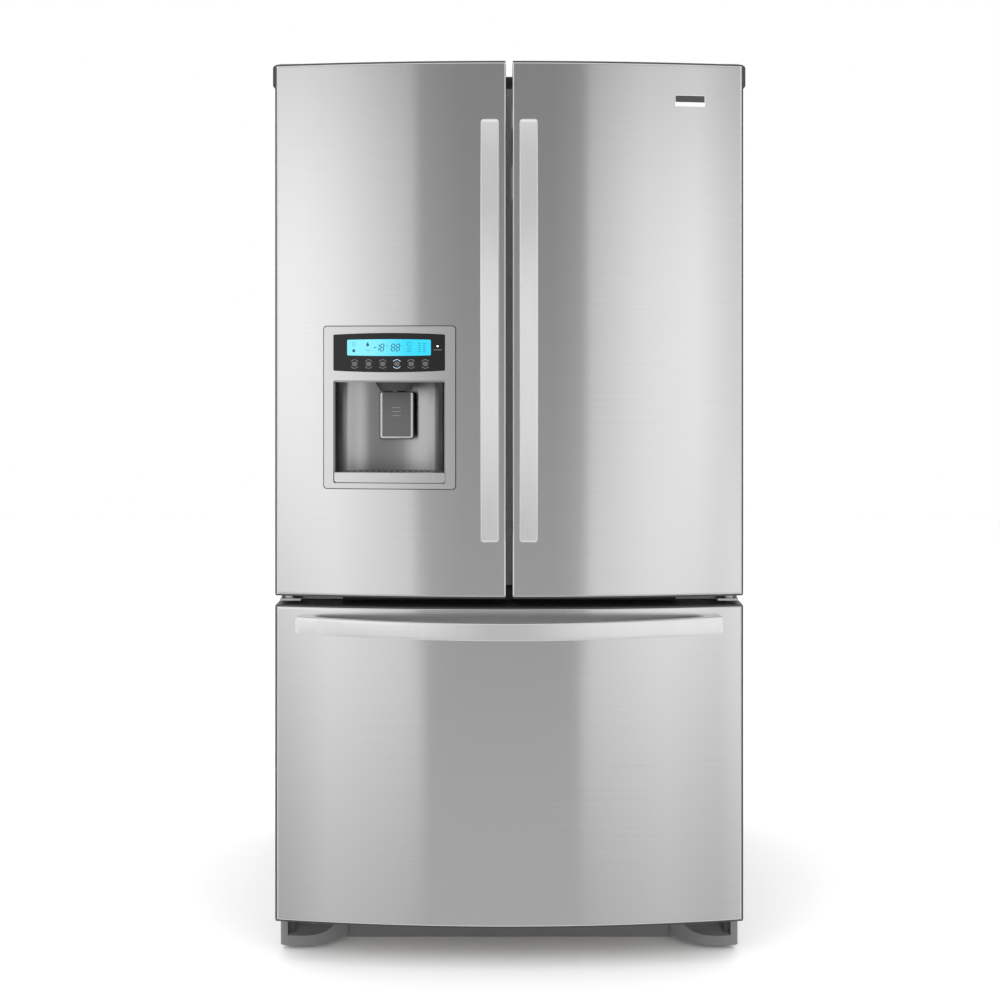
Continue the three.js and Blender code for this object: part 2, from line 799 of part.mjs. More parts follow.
// ---------------------------------------------------------------- freezer drawer

function drawerLiner() {
  const panel = block([-385, 385], [-14, 12], [140, 630]);
  return join(core([-HALF, HALF], [DRAWER_BOTTOM + 1, DRAWER_TOP - 1]), panel);
}

function drawerFrame() {
  const sides = [-1, 1].flatMap((side) => {
    const span = (near, far) => (side < 0 ? [-far, -near] : [near, far]);
    return [
      block(span(366, 370), [12.3, 415], [386, 416]),
      block(span(369, 384), [20, 415], [392, 408]),
    ];
  });
  return join(block([-370, 370], [12.3, 16], [386, 416]), ...sides);
}

function middleRail() {
  const rails = [-390.5, 390.5].map((x) => block([x - 5, x + 5], [40, 428], [389, 411]));
  return join(block([-390, 390], [420, 428], [396, 404]), ...rails);
}

function freezerBasket() {
  const body = cut(
    block([-362, 362], [30, 416], [150, 419]),
    block([-362 + WALL, 362 - WALL], [30 + WALL, 416 - WALL], [150 + WALL, 430]),
  );
  const rims = [-1, 1].map((side) =>
    block(side < 0 ? [-373, -360] : [360, 373], [30, 415], [416.3, 419]),
  );
  return join(body, ...rims);
}

const freezerTray = () =>
  cut(
    block([-362, 362], [45, 400], [420, 505]),
    block([-362 + WALL, 362 - WALL], [45 + WALL, 400 - WALL], [420 + WALL, 520]),
  );

// ---------------------------------------------------------------- assembly

const fridge = new THREE.Group();

function place(parent, name, geometry, material, position = [0, 0, 0]) {
  const mesh = new THREE.Mesh(geometry, material);
  mesh.name = name;
  mesh.position.set(...position);
  parent.add(mesh);
  return mesh;
}

// A left-hand piece and its mirror image on the right.
function pair(leftParent, rightParent, name, geometry, material, position = [0, 0, 0]) {
  place(leftParent, `left_${name}`, geometry, material, position);
  const right = place(rightParent, `right_${name}`, geometry, material, position);
  right.position.x *= -1;
  right.scale.x = -1;
}

function group(parent = fridge) {
  const made = new THREE.Group();
  parent.add(made);
  return made;
}

const cabinet = group();
pair(cabinet, cabinet, 'side_panel', sidePanel(), CASE_PAINT);
place(cabinet, 'top_panel', topPanel(), CASE_PAINT);
place(cabinet, 'back_panel', backPanel(), GALVANISED);
place(cabinet, 'case_foam', caseFoam(), FOAM);
place(cabinet, 'fridge_liner', fridgeLiner(), WHITE_PLASTIC);
place(cabinet, 'freezer_liner', freezerLiner(), WHITE_PLASTIC);
place(cabinet, 'center_rail', centerRail(), DARK_PLASTIC);
pair(cabinet, cabinet, 'top_hinge', topHinge(), ZINC);
pair(cabinet, cabinet, 'hinge_cover', hingeCover(), DARK_PLASTIC);
pair(cabinet, cabinet, 'center_hinge', centerHinge(), ZINC);
place(cabinet, 'base_pan', basePan(), GALVANISED);
place(cabinet, 'base_grille', baseGrille(), GREY_PLASTIC);
place(cabinet, 'rear_cover', rearCover(), GALVANISED);
place(cabinet, 'compressor', compressor(), BLACK_PAINT, [-250, back(605), 0]);
place(cabinet, 'condenser', condenser(), FINS);
place(cabinet, 'condenser_fan', fan(), DARK_PLASTIC, [14, back(600), 138]);
pair(cabinet, cabinet, 'leveling_leg', levelingLeg(), ZINC, [-400, back(78), 0]);
pair(cabinet, cabinet, 'rear_roller', roller(), DARK_PLASTIC, [-382, back(690), 22]);

const shelves = group(cabinet);
place(shelves, 'air_duct', airDuct(), WHITE_PLASTIC);
for (const [row, height] of [['upper', 1446], ['lower', 1214]]) {
  place(shelves, `${row}_left_shelf`, shelf(), CLEAR_PLASTIC, [-SHELF.width - 6, 0, height]);
  place(shelves, `${row}_right_shelf`, shelf(), CLEAR_PLASTIC, [6, 0, height]);
}
place(shelves, 'crisper_cover', crisperCover(), CLEAR_PLASTIC);
pair(shelves, shelves, 'crisper', crisper(), CLEAR_PLASTIC);

const leftDoor = group();
const rightDoor = group();
const leftSkin = skin(LEFT, [DOOR_BOTTOM, DOOR_TOP]);
place(leftDoor, 'left_door_skin', cut(leftSkin, dispenserHole()), STEEL);
place(rightDoor, 'right_door_skin', leftSkin, STEEL).scale.x = -1;
place(leftDoor, 'left_door_liner', leftDoorLiner(), WHITE_PLASTIC);
place(rightDoor, 'right_door_liner', rightDoorLiner(), WHITE_PLASTIC);
pair(leftDoor, rightDoor, 'door_gasket', gasketRing([-434, -12], [718, 1726]), RUBBER);
pair(leftDoor, rightDoor, 'door_handle', doorHandle(), HANDLE_STEEL);
place(leftDoor, 'mullion_flap', mullionFlap(), DARK_PLASTIC);
place(leftDoor, 'ice_compartment', iceCompartment(), WHITE_PLASTIC);
place(leftDoor, 'left_door_bin', tub([-380, -77], [-11.7, 95], [775, 880], 25), CLEAR_PLASTIC);

const dispenser = group(leftDoor);
place(dispenser, 'dispenser_frame', dispenserFrame(), SILVER_PLASTIC);
place(dispenser, 'dispenser_well', dispenserWell(), WELL_PLASTIC);
place(dispenser, 'control_panel', controlPanel(), BLACK_GLASS);
place(dispenser, 'dispenser_spout', spout(), DARK_PLASTIC);
place(dispenser, 'dispenser_paddle', paddle(), GREY_PLASTIC);

place(rightDoor, 'dairy_box', dairyBox(), CLEAR_PLASTIC);
place(rightDoor, 'dairy_lid', dairyLid(), CLEAR_PLASTIC);
place(rightDoor, 'right_middle_bin', tub([45, 380], [-11.7, 95], [1140, 1250], 25), CLEAR_PLASTIC);
place(rightDoor, 'right_lower_bin', tub([45, 380], [-11.7, 95], [790, 915], 25), CLEAR_PLASTIC);

const drawer = group();
place(drawer, 'drawer_skin', skin([-HALF, HALF], [DRAWER_BOTTOM, DRAWER_TOP]), STEEL);
place(drawer, 'drawer_liner', drawerLiner(), WHITE_PLASTIC);
place(drawer, 'drawer_gasket', gasketRing([-438, 438], [96, 676]), RUBBER);
place(drawer, 'drawer_handle', drawerHandle(), HANDLE_STEEL);
place(drawer, 'drawer_frame', drawerFrame(), ZINC);
place(drawer, 'middle_rail', middleRail(), ZINC);
place(drawer, 'freezer_basket', freezerBasket(), WHITE_PLASTIC);
place(drawer, 'freezer_tray', freezerTray(), CLEAR_PLASTIC);

export default fridge;
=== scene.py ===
"""The looks of a french door refrigerator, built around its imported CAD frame.

Metres, in the frame's own axes: +X right, +Y towards the wall behind, +Z up, and the floor is z = 0.
"""

import json
import math

import bmesh
import bpy
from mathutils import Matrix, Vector


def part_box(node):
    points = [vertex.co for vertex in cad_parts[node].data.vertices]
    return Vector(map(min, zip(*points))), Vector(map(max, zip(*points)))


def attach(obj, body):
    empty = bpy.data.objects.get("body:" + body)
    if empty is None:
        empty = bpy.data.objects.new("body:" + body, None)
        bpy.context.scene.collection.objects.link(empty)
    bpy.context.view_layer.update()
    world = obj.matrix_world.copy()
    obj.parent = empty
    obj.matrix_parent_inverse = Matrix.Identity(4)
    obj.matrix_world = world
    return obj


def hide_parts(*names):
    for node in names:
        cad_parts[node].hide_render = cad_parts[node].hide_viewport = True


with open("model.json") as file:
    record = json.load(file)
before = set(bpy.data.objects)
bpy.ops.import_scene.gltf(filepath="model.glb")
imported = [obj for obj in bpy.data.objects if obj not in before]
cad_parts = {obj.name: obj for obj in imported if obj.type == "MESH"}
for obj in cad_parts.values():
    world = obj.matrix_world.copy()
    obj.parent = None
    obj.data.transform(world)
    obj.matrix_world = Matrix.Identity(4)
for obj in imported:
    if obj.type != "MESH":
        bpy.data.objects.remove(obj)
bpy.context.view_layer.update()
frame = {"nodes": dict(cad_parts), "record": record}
NODES = frame["nodes"]
NODE_SLOT = {s["node"]: s["material_slot"] for s in frame["record"]["subparts"]}
MM = 0.001

# ---------------------------------------------------------------- values from the frame

LEFT_LOW, LEFT_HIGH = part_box("left_door_skin")
DRAWER_LOW, DRAWER_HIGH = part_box("drawer_skin")
HALF = DRAWER_HIGH.x  # half the width of the fronts
GAP_HALF = -LEFT_HIGH.x  # half the gap between the two doors
APEX = DRAWER_LOW.y  # the front's foremost line
DOOR_BACK = DRAWER_HIGH.y
CASE_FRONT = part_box("top_panel")[0].y
BULGE = 33 * MM  # how far the fronts swell from the sides to the middle
RADIUS = (HALF * HALF + BULGE * BULGE) / (2 * BULGE)
CORNER = 3.4 * MM  # vertical edges of the fronts
SHEET = 1.2 * MM  # thickness of the stainless skins
SIDES = {"left": -1, "right": 1}


def front(x, inset=0.0):
    """Row Y of the swelling front at x, moved inwards by inset."""
    return APEX + RADIUS - math.sqrt((RADIUS - inset) ** 2 - x * x)


# ---------------------------------------------------------------- materials


def shader(name, color, roughness, metallic=0.0, **sockets):
    look = bpy.data.materials.new(name)
    look.use_nodes = True
    node = look.node_tree.nodes["Principled BSDF"]
    node.inputs["Base Color"].default_value = (*color[:3], 1)
    node.inputs["Roughness"].default_value = roughness
    node.inputs["Metallic"].default_value = metallic
    for socket, value in sockets.items():
        node.inputs[socket.replace("_", " ")].default_value = value
    return look


def noise(look, scale, detail=3.0, stretch=(1, 1, 1)):
    """A noise texture in the object's own coordinates, scaled by stretch along each axis."""
    tree = look.node_tree
    place = tree.nodes.new("ShaderNodeTexCoord")
    mapping = tree.nodes.new("ShaderNodeMapping")
    texture = tree.nodes.new("ShaderNodeTexNoise")
    mapping.inputs["Scale"].default_value = stretch
    texture.inputs["Scale"].default_value = scale
    texture.inputs["Detail"].default_value = detail
    tree.links.new(place.outputs["Object"], mapping.inputs["Vector"])
    tree.links.new(mapping.outputs["Vector"], texture.inputs["Vector"])
    return texture.outputs["Fac"]


def ramp(look, fac, low, high, socket):
    """Sends a noise to the shader's socket, spread between two values or two colours."""
    tree = look.node_tree
    node = tree.nodes.new("ShaderNodeValToRGB")
    for stop, value, position in zip(node.color_ramp.elements, (low, high), (0.3, 0.7)):
        stop.color = (*value, 1) if isinstance(value, tuple) else (value, value, value, 1)
        stop.position = position
    tree.links.new(fac, node.inputs["Fac"])
    tree.links.new(node.outputs["Color"], tree.nodes["Principled BSDF"].inputs[socket])


def bump(look, fac, strength, distance):
    tree = look.node_tree
    node = tree.nodes.new("ShaderNodeBump")
    node.inputs["Strength"].default_value = strength
    node.inputs["Distance"].default_value = distance
    tree.links.new(fac, node.inputs["Height"])
    tree.links.new(node.outputs["Normal"], tree.nodes["Principled BSDF"].inputs["Normal"])


def shade(color, factor):
    return tuple(min(1.0, c * factor) for c in color[:3])


def brushed(name, color, roughness, stretch, anisotropic, rotation, across=False):
    """Brushed steel: fine scratches along one axis, and a highlight smeared across them."""
    look = shader(name, color, roughness, 1.0, Anisotropic=anisotropic, Anisotropic_Rotation=rotation)
    if across:
        tree = look.node_tree
        tangent = tree.nodes.new("ShaderNodeTangent")
        tangent.direction_type = "UV_MAP"
        tangent.uv_map = "across"
        tree.links.new(tangent.outputs["Tangent"], tree.nodes["Principled BSDF"].inputs["Tangent"])
    grain = noise(look, 60, 4, stretch)
    ramp(look, grain, shade(color, 0.98), shade(color, 1.015), "Base Color")
    bump(look, grain, 0.03, 0.02 * MM)
    return look


def moulded(name, color, roughness, texture=900, height=0.04, **sockets):
    """Moulded plastic or painted sheet: a fine texture and small changes of tone and gloss."""
    look = shader(name, color, roughness, **sockets)
    ramp(look, noise(look, 14), shade(color, 0.985), shade(color, 1.015), "Base Color")
    ramp(look, noise(look, 40), roughness * 0.9, min(1.0, roughness * 1.12), "Roughness")
    bump(look, noise(look, texture, 2), 0.25, height * MM)
    return look


def galvanised(name, color):
    look = shader(name, color, 0.42, 0.75)
    tree = look.node_tree
    place = tree.nodes.new("ShaderNodeTexCoord")
    cells = tree.nodes.new("ShaderNodeTexVoronoi")
    cells.inputs["Scale"].default_value = 110
    tree.links.new(place.outputs["Object"], cells.inputs["Vector"])
    ramp(look, cells.outputs["Color"], shade(color, 0.95), shade(color, 1.04), "Base Color")
    bump(look, noise(look, 300), 0.1, 0.05 * MM)
    return look


def clear(name, color, roughness, transmission):
    look = shader(name, color, roughness, Transmission_Weight=transmission, IOR=1.49)
    ramp(look, noise(look, 30), roughness, roughness + 0.05, "Roughness")
    bump(look, noise(look, 500, 2), 0.08, 0.03 * MM)
    return look


def glowing(name, color, strength):
    look = shader(name, color, 0.3)
    node = look.node_tree.nodes["Principled BSDF"]
    node.inputs["Emission Strength"].default_value = strength
    node.inputs["Emission Color"].default_value = (*color, 1)
    return look


def lit_display():
    """A lit window that turns from cyan to a deeper blue across its width."""
    look = shader("lit_display", (0.02, 0.1, 0.14), 0.25)
    tree = look.node_tree
    tree.nodes["Principled BSDF"].inputs["Emission Strength"].default_value = 0.85
    place = tree.nodes.new("ShaderNodeTexCoord")
    split = tree.nodes.new("ShaderNodeSeparateXYZ")
    tree.links.new(place.outputs["Generated"], split.inputs["Vector"])
    ramp(look, split.outputs["X"], (0.25, 0.86, 1.0), (0.0, 0.7, 1.0), "Emission Color")
    return look


STEEL = (0.675, 0.675, 0.677)
LOOKS = {
    "stainless": brushed("stainless", STEEL, 0.14, (0.05, 1, 14), 1.0, 0.25),
    "handle_steel": brushed("handle_steel", (0.8, 0.8, 0.8), 0.3, (1, 1, 0.05), 0.5, 0.0),
    "case_paint": moulded("case_paint", (0.19, 0.192, 0.196), 0.5, 700, 0.08),
    "zinc_sheet": galvanised("zinc_sheet", (0.5, 0.51, 0.52)),
    "hinge_zinc": galvanised("hinge_zinc", (0.55, 0.56, 0.57)),
    "dark_plastic": moulded("dark_plastic", (0.04, 0.041, 0.043), 0.45),
    "grey_plastic": moulded("grey_plastic", (0.155, 0.157, 0.16), 0.5),
    "white_plastic": moulded("white_plastic", (0.86, 0.865, 0.865), 0.3, 500, 0.02),
    "clear_plastic": clear("clear_plastic", (0.93, 0.96, 0.97), 0.08, 0.85),
    "shelf_glass": clear("shelf_glass", (0.9, 0.97, 0.95), 0.02, 0.95),
    "silver_trim": brushed("silver_trim", (0.7, 0.7, 0.705), 0.3, (0.05, 1, 14), 0.6, 0.25),
    "well_plastic": brushed("well_plastic", (0.47, 0.472, 0.475), 0.28, (1, 1, 0.05), 0.9, 0.25),
    "panel_black": moulded("panel_black", (0.012, 0.012, 0.013), 0.2, 300, 0.005, Specular_IOR_Level=0.25),
    "paddle_grey": moulded("paddle_grey", (0.11, 0.111, 0.113), 0.45),
    "foam": moulded("foam", (0.75, 0.66, 0.36), 0.9, 200, 0.5),
    "seal_rubber": moulded("seal_rubber", (0.2, 0.202, 0.205), 0.75),
    "compressor_black": moulded("compressor_black", (0.015, 0.015, 0.016), 0.35, 300, 0.1),
    "condenser_fins": moulded("condenser_fins", (0.05, 0.051, 0.053), 0.5, 400, 0.1, Metallic=0.6),
}
LOOKS["foam"].node_tree.nodes["Principled BSDF"].inputs["Subsurface Weight"].default_value = 0.05
UPRIGHT = brushed("upright_handle_steel", (0.93, 0.93, 0.93), 0.42, (1, 1, 0.05), 0.95, 0.0, True)
STRIP = moulded("gap_strip", (0.62, 0.62, 0.62), 0.45)
GRIP = moulded("paddle_grip", (0.24, 0.242, 0.245), 0.4)
CHROME = shader("chrome_edge", (0.95, 0.95, 0.95), 0.22, 1.0)
CYAN = lit_display()
SEGMENT = moulded("display_ink", (0.004, 0.06, 0.1), 0.4)
LABEL = glowing("key_print", (0.24, 0.24, 0.25), 0.18)
KEY_LIT = glowing("lit_key", (0.6, 0.8, 1.0), 0.7)
LED = glowing("led", (0.9, 0.95, 1.0), 2.5)
LAMP = glowing("lamp_cover", (0.95, 0.97, 1.0), 0.6)
COPPER = shader("copper_tube", (0.72, 0.36, 0.2), 0.35, 1.0)
FOIL = shader("foil_tape", (0.75, 0.76, 0.77), 0.25, 1.0)
bump(FOIL, noise(FOIL, 180), 0.5, 0.3 * MM)

# ---------------------------------------------------------------- mesh helpers


def soften(piece, width, segments=3):
    """Rounds a piece's sharp edges with a bevel."""
    edge = piece.modifiers.new("edges", "BEVEL")
    edge.width = width
    edge.segments = segments
    edge.limit_method = "ANGLE"
    edge.angle_limit = math.radians(35)
    edge.use_clamp_overlap = True
    edge.harden_normals = True


def smooth(mesh, angle):
    mesh.polygons.foreach_set("use_smooth", [True] * len(mesh.polygons))
    mesh.set_sharp_from_angle(angle=math.radians(angle))


def finish_piece(name, bm, body, slot, replaced=(), bevel=0.0, segments=3, angle=35, look=None):
    """Turns a bmesh into a piece that rides on a body and takes its finish from a slot."""
    bmesh.ops.recalc_face_normals(bm, faces=bm.faces)
    mesh = bpy.data.meshes.new(name)
    bm.to_mesh(mesh)
    bm.free()
    smooth(mesh, angle)
    mesh.materials.append(look or LOOKS[slot])
    piece = bpy.data.objects.new(name, mesh)
    bpy.context.scene.collection.objects.link(piece)
    if bevel:
        soften(piece, bevel, segments)
    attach(piece, body)
    if replaced:
        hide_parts(*replaced)
    return piece


AXES = {
    "x": lambda a, b, t: (t, a, b),
    "y": lambda a, b, t: (a, t, b),
    "z": lambda a, b, t: (a, b, t),
}


def prism(outline, axis, low, high, bm=None):
    """A closed outline, extruded along an axis. It adds to bm if one is given."""
    bm = bm or bmesh.new()
    ends = [[bm.verts.new(AXES[axis](a, b, t)) for a, b in outline] for t in (low, high)]
    bm.faces.new(ends[0])
    bm.faces.new(ends[1][::-1])
    count = len(outline)
    for i in range(count):
        j = (i + 1) % count
        bm.faces.new((ends[0][i], ends[0][j], ends[1][j], ends[1][i]))
    return bm


def arc(cx, cy, radius, start, stop, steps):
    turns = [math.radians(start + (stop - start) * i / steps) for i in range(steps + 1)]
    return [(cx + radius * math.cos(t), cy + radius * math.sin(t)) for t in turns]


def rounded(x0, x1, y0, y1, radius, steps=5):
    """A rectangle's outline with round corners."""
    r = radius
    return [
        *arc(x1 - r, y1 - r, r, 0, 90, steps),
        *arc(x0 + r, y1 - r, r, 90, 180, steps),
        *arc(x0 + r, y0 + r, r, 180, 270, steps),
        *arc(x1 - r, y0 + r, r, 270, 360, steps),
    ]


def slab(low, high, radius=0.0, axis="z", bm=None):
    """A box between two corners, with round corners across the given axis."""
    a, b, c = {"x": (1, 2, 0), "y": (0, 2, 1), "z": (0, 1, 2)}[axis]
    if radius:
        outline = rounded(low[a], high[a], low[b], high[b], radius)
    else:
        outline = [(low[a], low[b]), (high[a], low[b]), (high[a], high[b]), (low[a], high[b])]
    return prism(outline, axis, low[c], high[c], bm)


def lathe(profile, centre, steps=40, axis="z", bm=None):
    """Radius and height pairs turned round an axis through centre."""
    bm = bm or bmesh.new()
    rings = []
    for radius, height in profile:
        ring = []
        for i in range(steps):
            t = 2 * math.pi * i / steps
            a, b = radius * math.cos(t), radius * math.sin(t)
            place = {"z": (a, b, height), "x": (height, a, b), "y": (b, height, a)}[axis]
            ring.append(bm.verts.new(Vector(place) + Vector(centre)))
        rings.append(ring)
    for low, high in zip(rings, rings[1:]):
        for i in range(steps):
            j = (i + 1) % steps
            bm.faces.new((low[i], low[j], high[j], high[i]))
    bm.faces.new(rings[0][::-1])
    bm.faces.new(rings[-1])
    return bm


def carve(bm, *cutters):
    """bm with the cutters taken away from it."""
    for cutter in cutters:
        parts = []
        for source in (bm, cutter):
            bmesh.ops.recalc_face_normals(source, faces=source.faces)
            mesh = bpy.data.meshes.new("carving")
            source.to_mesh(mesh)
            source.free()
            part = bpy.data.objects.new("carving", mesh)
            bpy.context.scene.collection.objects.link(part)
            parts.append(part)
        body, tool = parts
        cut = body.modifiers.new("cut", "BOOLEAN")
        cut.object = tool
        cut.solver = "EXACT"
        graph = bpy.context.evaluated_depsgraph_get()
        made = bpy.data.meshes.new_from_object(body.evaluated_get(graph))
        bm = bmesh.new()
        bm.from_mesh(made)
        for part in parts:
            bpy.data.objects.remove(part)
    return bm


def wrap(bm, columns=24):
    """Bends a flat piece, whose y counts inwards from the front, on to the swelling front."""
    xs = [v.co.x for v in bm.verts]
    low, high = min(xs), max(xs)
    for i in range(1, columns):
        x = low + (high - low) * i / columns
        geometry = [*bm.verts, *bm.edges, *bm.faces]
        bmesh.ops.bisect_plane(bm, geom=geometry, plane_co=(x, 0, 0), plane_no=(1, 0, 0))
    for v in bm.verts:
        v.co.y += front(v.co.x)
    return bm


def tube(points, radius):
    """A round bar along a line of points."""
    bm = bmesh.new()
    steps = 12
    points = [Vector(p) for p in points]
    rings = []
    side = None
    for i, point in enumerate(points):
        ahead = points[min(i + 1, len(points) - 1)] - points[max(i - 1, 0)]
        ahead.normalize()
        seed = side or (Vector((0, 0, 1)) if abs(ahead.z) < 0.9 else Vector((1, 0, 0)))
        side = (seed - ahead * seed.dot(ahead)).normalized()
        other = ahead.cross(side)
        turns = [2 * math.pi * k / steps for k in range(steps)]
        ring = [point + side * radius * math.cos(t) + other * radius * math.sin(t) for t in turns]
        rings.append([bm.verts.new(p) for p in ring])
    for low, high in zip(rings, rings[1:]):
        for i in range(steps):
            j = (i + 1) % steps
            bm.faces.new((low[i], low[j], high[j], high[i]))
    bm.faces.new(rings[0][::-1])
    bm.faces.new(rings[-1])
    return bm


def loop_sweep(outline, profile):
    """A closed profile of (outward, y) carried round a closed outline in x and z."""
    bm = bmesh.new()
    count = len(outline)
    rings = []
    for i in range(count):
        before, here, after = outline[i - 1], outline[i], outline[(i + 1) % count]
        edges = [Vector(here) - Vector(before), Vector(after) - Vector(here)]
        normals = [Vector((e.y, -e.x)).normalized() for e in edges]
        normal = normals[0] + normals[1]
        normal /= max(normal.dot(normals[0]), 0.2)
        place = [(here[0] + normal.x * u, y, here[1] + normal.y * u) for u, y in profile]
        rings.append([bm.verts.new(p) for p in place])
    for i in range(count):
        low, high = rings[i], rings[(i + 1) % count]
        for k in range(len(profile)):
            n = (k + 1) % len(profile)
            bm.faces.new((low[k], low[n], high[n], high[k]))
    return bm


# ---------------------------------------------------------------- door and drawer fronts


def plan_path(x0, x1, breaks=()):
    """Points and outward normals round a front's plan, from its left back edge to its right."""
    steps = 6
    path = [(Vector((x0, DOOR_BACK)), Vector((-1, 0)))]
    heart = Vector((0, APEX + RADIUS))
    centres = []
    for x in (x0 + CORNER, x1 - CORNER):
        centres.append(Vector((x, front(x, CORNER))))
    outward = [(c - heart).normalized() for c in centres]
    start = math.pi
    stop = math.atan2(outward[0].y, outward[0].x) % (2 * math.pi)
    for i in range(steps + 1):
        t = start + (stop - start) * i / steps
        normal = Vector((math.cos(t), math.sin(t)))
        path.append((centres[0] + normal * CORNER, normal))
    left = path[-1][0].x
    stop = math.atan2(outward[1].y, outward[1].x) % (2 * math.pi)
    right = (centres[1] + outward[1] * CORNER).x
    columns = 48
    xs = [left + (right - left) * i / columns for i in range(1, columns)]
    near = (right - left) / columns * 0.45
    breaks = [left + 2 * MM, *breaks, right - 2 * MM]
    xs = sorted([x for x in xs if all(abs(x - b) > near for b in breaks)] + breaks)
    for x in xs:
        point = Vector((x, front(x)))
        path.append((point, (point - heart).normalized()))
    for i in range(steps + 1):
        t = stop + (2 * math.pi - stop) * i / steps
        normal = Vector((math.cos(t), math.sin(t)))
        path.append((centres[1] + normal * CORNER, normal))
    path.append((Vector((x1, DOOR_BACK)), Vector((1, 0))))
    return path


def sweep_plan(path, profile):
    """A closed profile of (inset, z) carried along a plan path, with its two ends closed."""
    bm = bmesh.new()
    rings = []
    for point, normal in path:
        ring = [point - normal * inset for inset, z in profile]
        rings.append([bm.verts.new((p.x, p.y, z)) for p, (inset, z) in zip(ring, profile)])
    count = len(profile)
    for low, high in zip(rings, rings[1:]):
        for k in range(count):
            n = (k + 1) % count
            bm.faces.new((low[k], low[n], high[n], high[k]))
    bm.faces.new(rings[0])
    bm.faces.new(rings[-1][::-1])
    return bm


def skin_profile(z0, z1, breaks=()):
    """The section of a front's sheet: rolled over at the top and bottom, and open behind."""
    roll = 3.2 * MM
    lip = 5 * MM
    hold = 2.5 * MM  # rows close to the rolls keep the sheet's shading flat between them
    breaks = [z0 + roll + hold, *breaks, z1 - roll - hold]
    outer = [(roll - x, z) for x, z in arc(0, z0 + roll, roll, -90, 0, 4)]
    outer += [(0, z) for z in breaks]
    outer += [(roll - x, z) for x, z in arc(0, z1 - roll, roll, 0, 90, 4)]
    inner = [(lip, z1), (lip, z1 - SHEET), (SHEET, z1 - SHEET - 1 * MM)]
    inner += [(SHEET, z) for z in reversed(breaks)]
    inner += [(SHEET, z0 + SHEET + 1 * MM), (lip, z0 + SHEET), (lip, z0)]
    return outer + inner


CAP = 2.4 * MM  # end caps show this much beyond the sheet
CAP_INSET = 0.9 * MM
TRIM = 3.8 * MM  # the dark trim down an outer edge


def side_trim(name, body, side, z0, z1):
    """The dark edge that closes a front's outer side."""
    x = side * HALF
    inner = side * (HALF - TRIM)
    depth = front(x) + 0.6 * MM
    outline = [
        (x, DOOR_BACK),
        (x, depth + 1.5 * MM),
        (x - side * 1.2 * MM, depth),
        (inner, depth),
        (inner, DOOR_BACK),
    ]
    bm = prism(outline, "z", z0, z1)
    finish_piece(name, bm, body, "dark_plastic", bevel=0.5 * MM, segments=2)


def front_skin(name, body, x0, x1, z0, z1, hole=None):
    """A stainless front between its two dark end caps."""
    low, high = z0 + CAP, z1 - CAP
    sides = (x0, x1)
    if x0 < -HALF + MM:
        side_trim(name.replace("skin", "left_trim"), body, -1, low, high)
        x0 += TRIM + 0.2 * MM
    if x1 > HALF - MM:
        side_trim(name.replace("skin", "right_trim"), body, 1, low, high)
        x1 -= TRIM + 0.2 * MM
    breaks = [hole[2], hole[3]] if hole else []
    path = plan_path(x0, x1, breaks=hole[:2] if hole else ())
    bm = sweep_plan(path, skin_profile(low, high, breaks))
    if hole:
        inside = []
        for face in bm.faces:
            c = face.calc_center_median()
            if hole[0] < c.x < hole[1] and hole[2] < c.z < hole[3]:
                inside.append(face)
        bmesh.ops.delete(bm, geom=inside, context="FACES")
        rim = [e for e in bm.edges if e.is_boundary]
        bmesh.ops.bridge_loops(bm, edges=rim)
    finish_piece(name, bm, body, "stainless", [name], angle=50)
    for end, (a, b) in {"bottom": (z0, low + 1 * MM), "top": (high - 1 * MM, z1)}.items():
        outline = [tuple(p - n * CAP_INSET) for p, n in plan_path(*sides)]
        cap = prism(outline, "z", a, b)
        label = name.replace("skin", f"{end}_cap")
        finish_piece(label, cap, body, "dark_plastic", bevel=0.7 * MM, segments=2, angle=50)


FRAME_LOW, FRAME_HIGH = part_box("dispenser_frame")
MARGIN = 7 * MM
HOLE = (FRAME_LOW.x + MARGIN, FRAME_HIGH.x - MARGIN, FRAME_LOW.z + MARGIN, FRAME_HIGH.z - MARGIN)
front_skin("left_door_skin", "left_door", LEFT_LOW.x, LEFT_HIGH.x, LEFT_LOW.z, LEFT_HIGH.z, HOLE)
front_skin("right_door_skin", "right_door", -LEFT_HIGH.x, -LEFT_LOW.x, LEFT_LOW.z, LEFT_HIGH.z)
front_skin("drawer_skin", "freezer_drawer", -HALF, HALF, DRAWER_LOW.z, DRAWER_HIGH.z)


def gap_strip():
    """The grey strip behind the gap between the doors, under a dark block."""
    gasket_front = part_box("left_door_gasket")[0].y
    back, edge = gasket_front - 0.4 * MM, 5.4 * MM
    inner = -GAP_HALF - 0.3 * MM
    strip = slab((inner, back - 1.8 * MM, LEFT_LOW.z + 12 * MM), (edge, back, LEFT_HIGH.z - 37 * MM))
    finish_piece("gap_strip", strip, "left_door", "grey_plastic", bevel=0.5 * MM, segments=2, look=STRIP)
    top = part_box("left_door_gasket")[1].z
    block = slab((inner, back - 2.4 * MM, LEFT_HIGH.z - 37 * MM), (edge, back, top))
    finish_piece("gap_block", block, "left_door", "dark_plastic", bevel=0.5 * MM, segments=2)
    lip = slab((edge + 0.5 * MM, back + 0.05 * MM, LEFT_LOW.z + 12 * MM), (14 * MM, back + 0.35 * MM, top))
    finish_piece("gap_lip", lip, "right_door", "dark_plastic")


gap_strip()


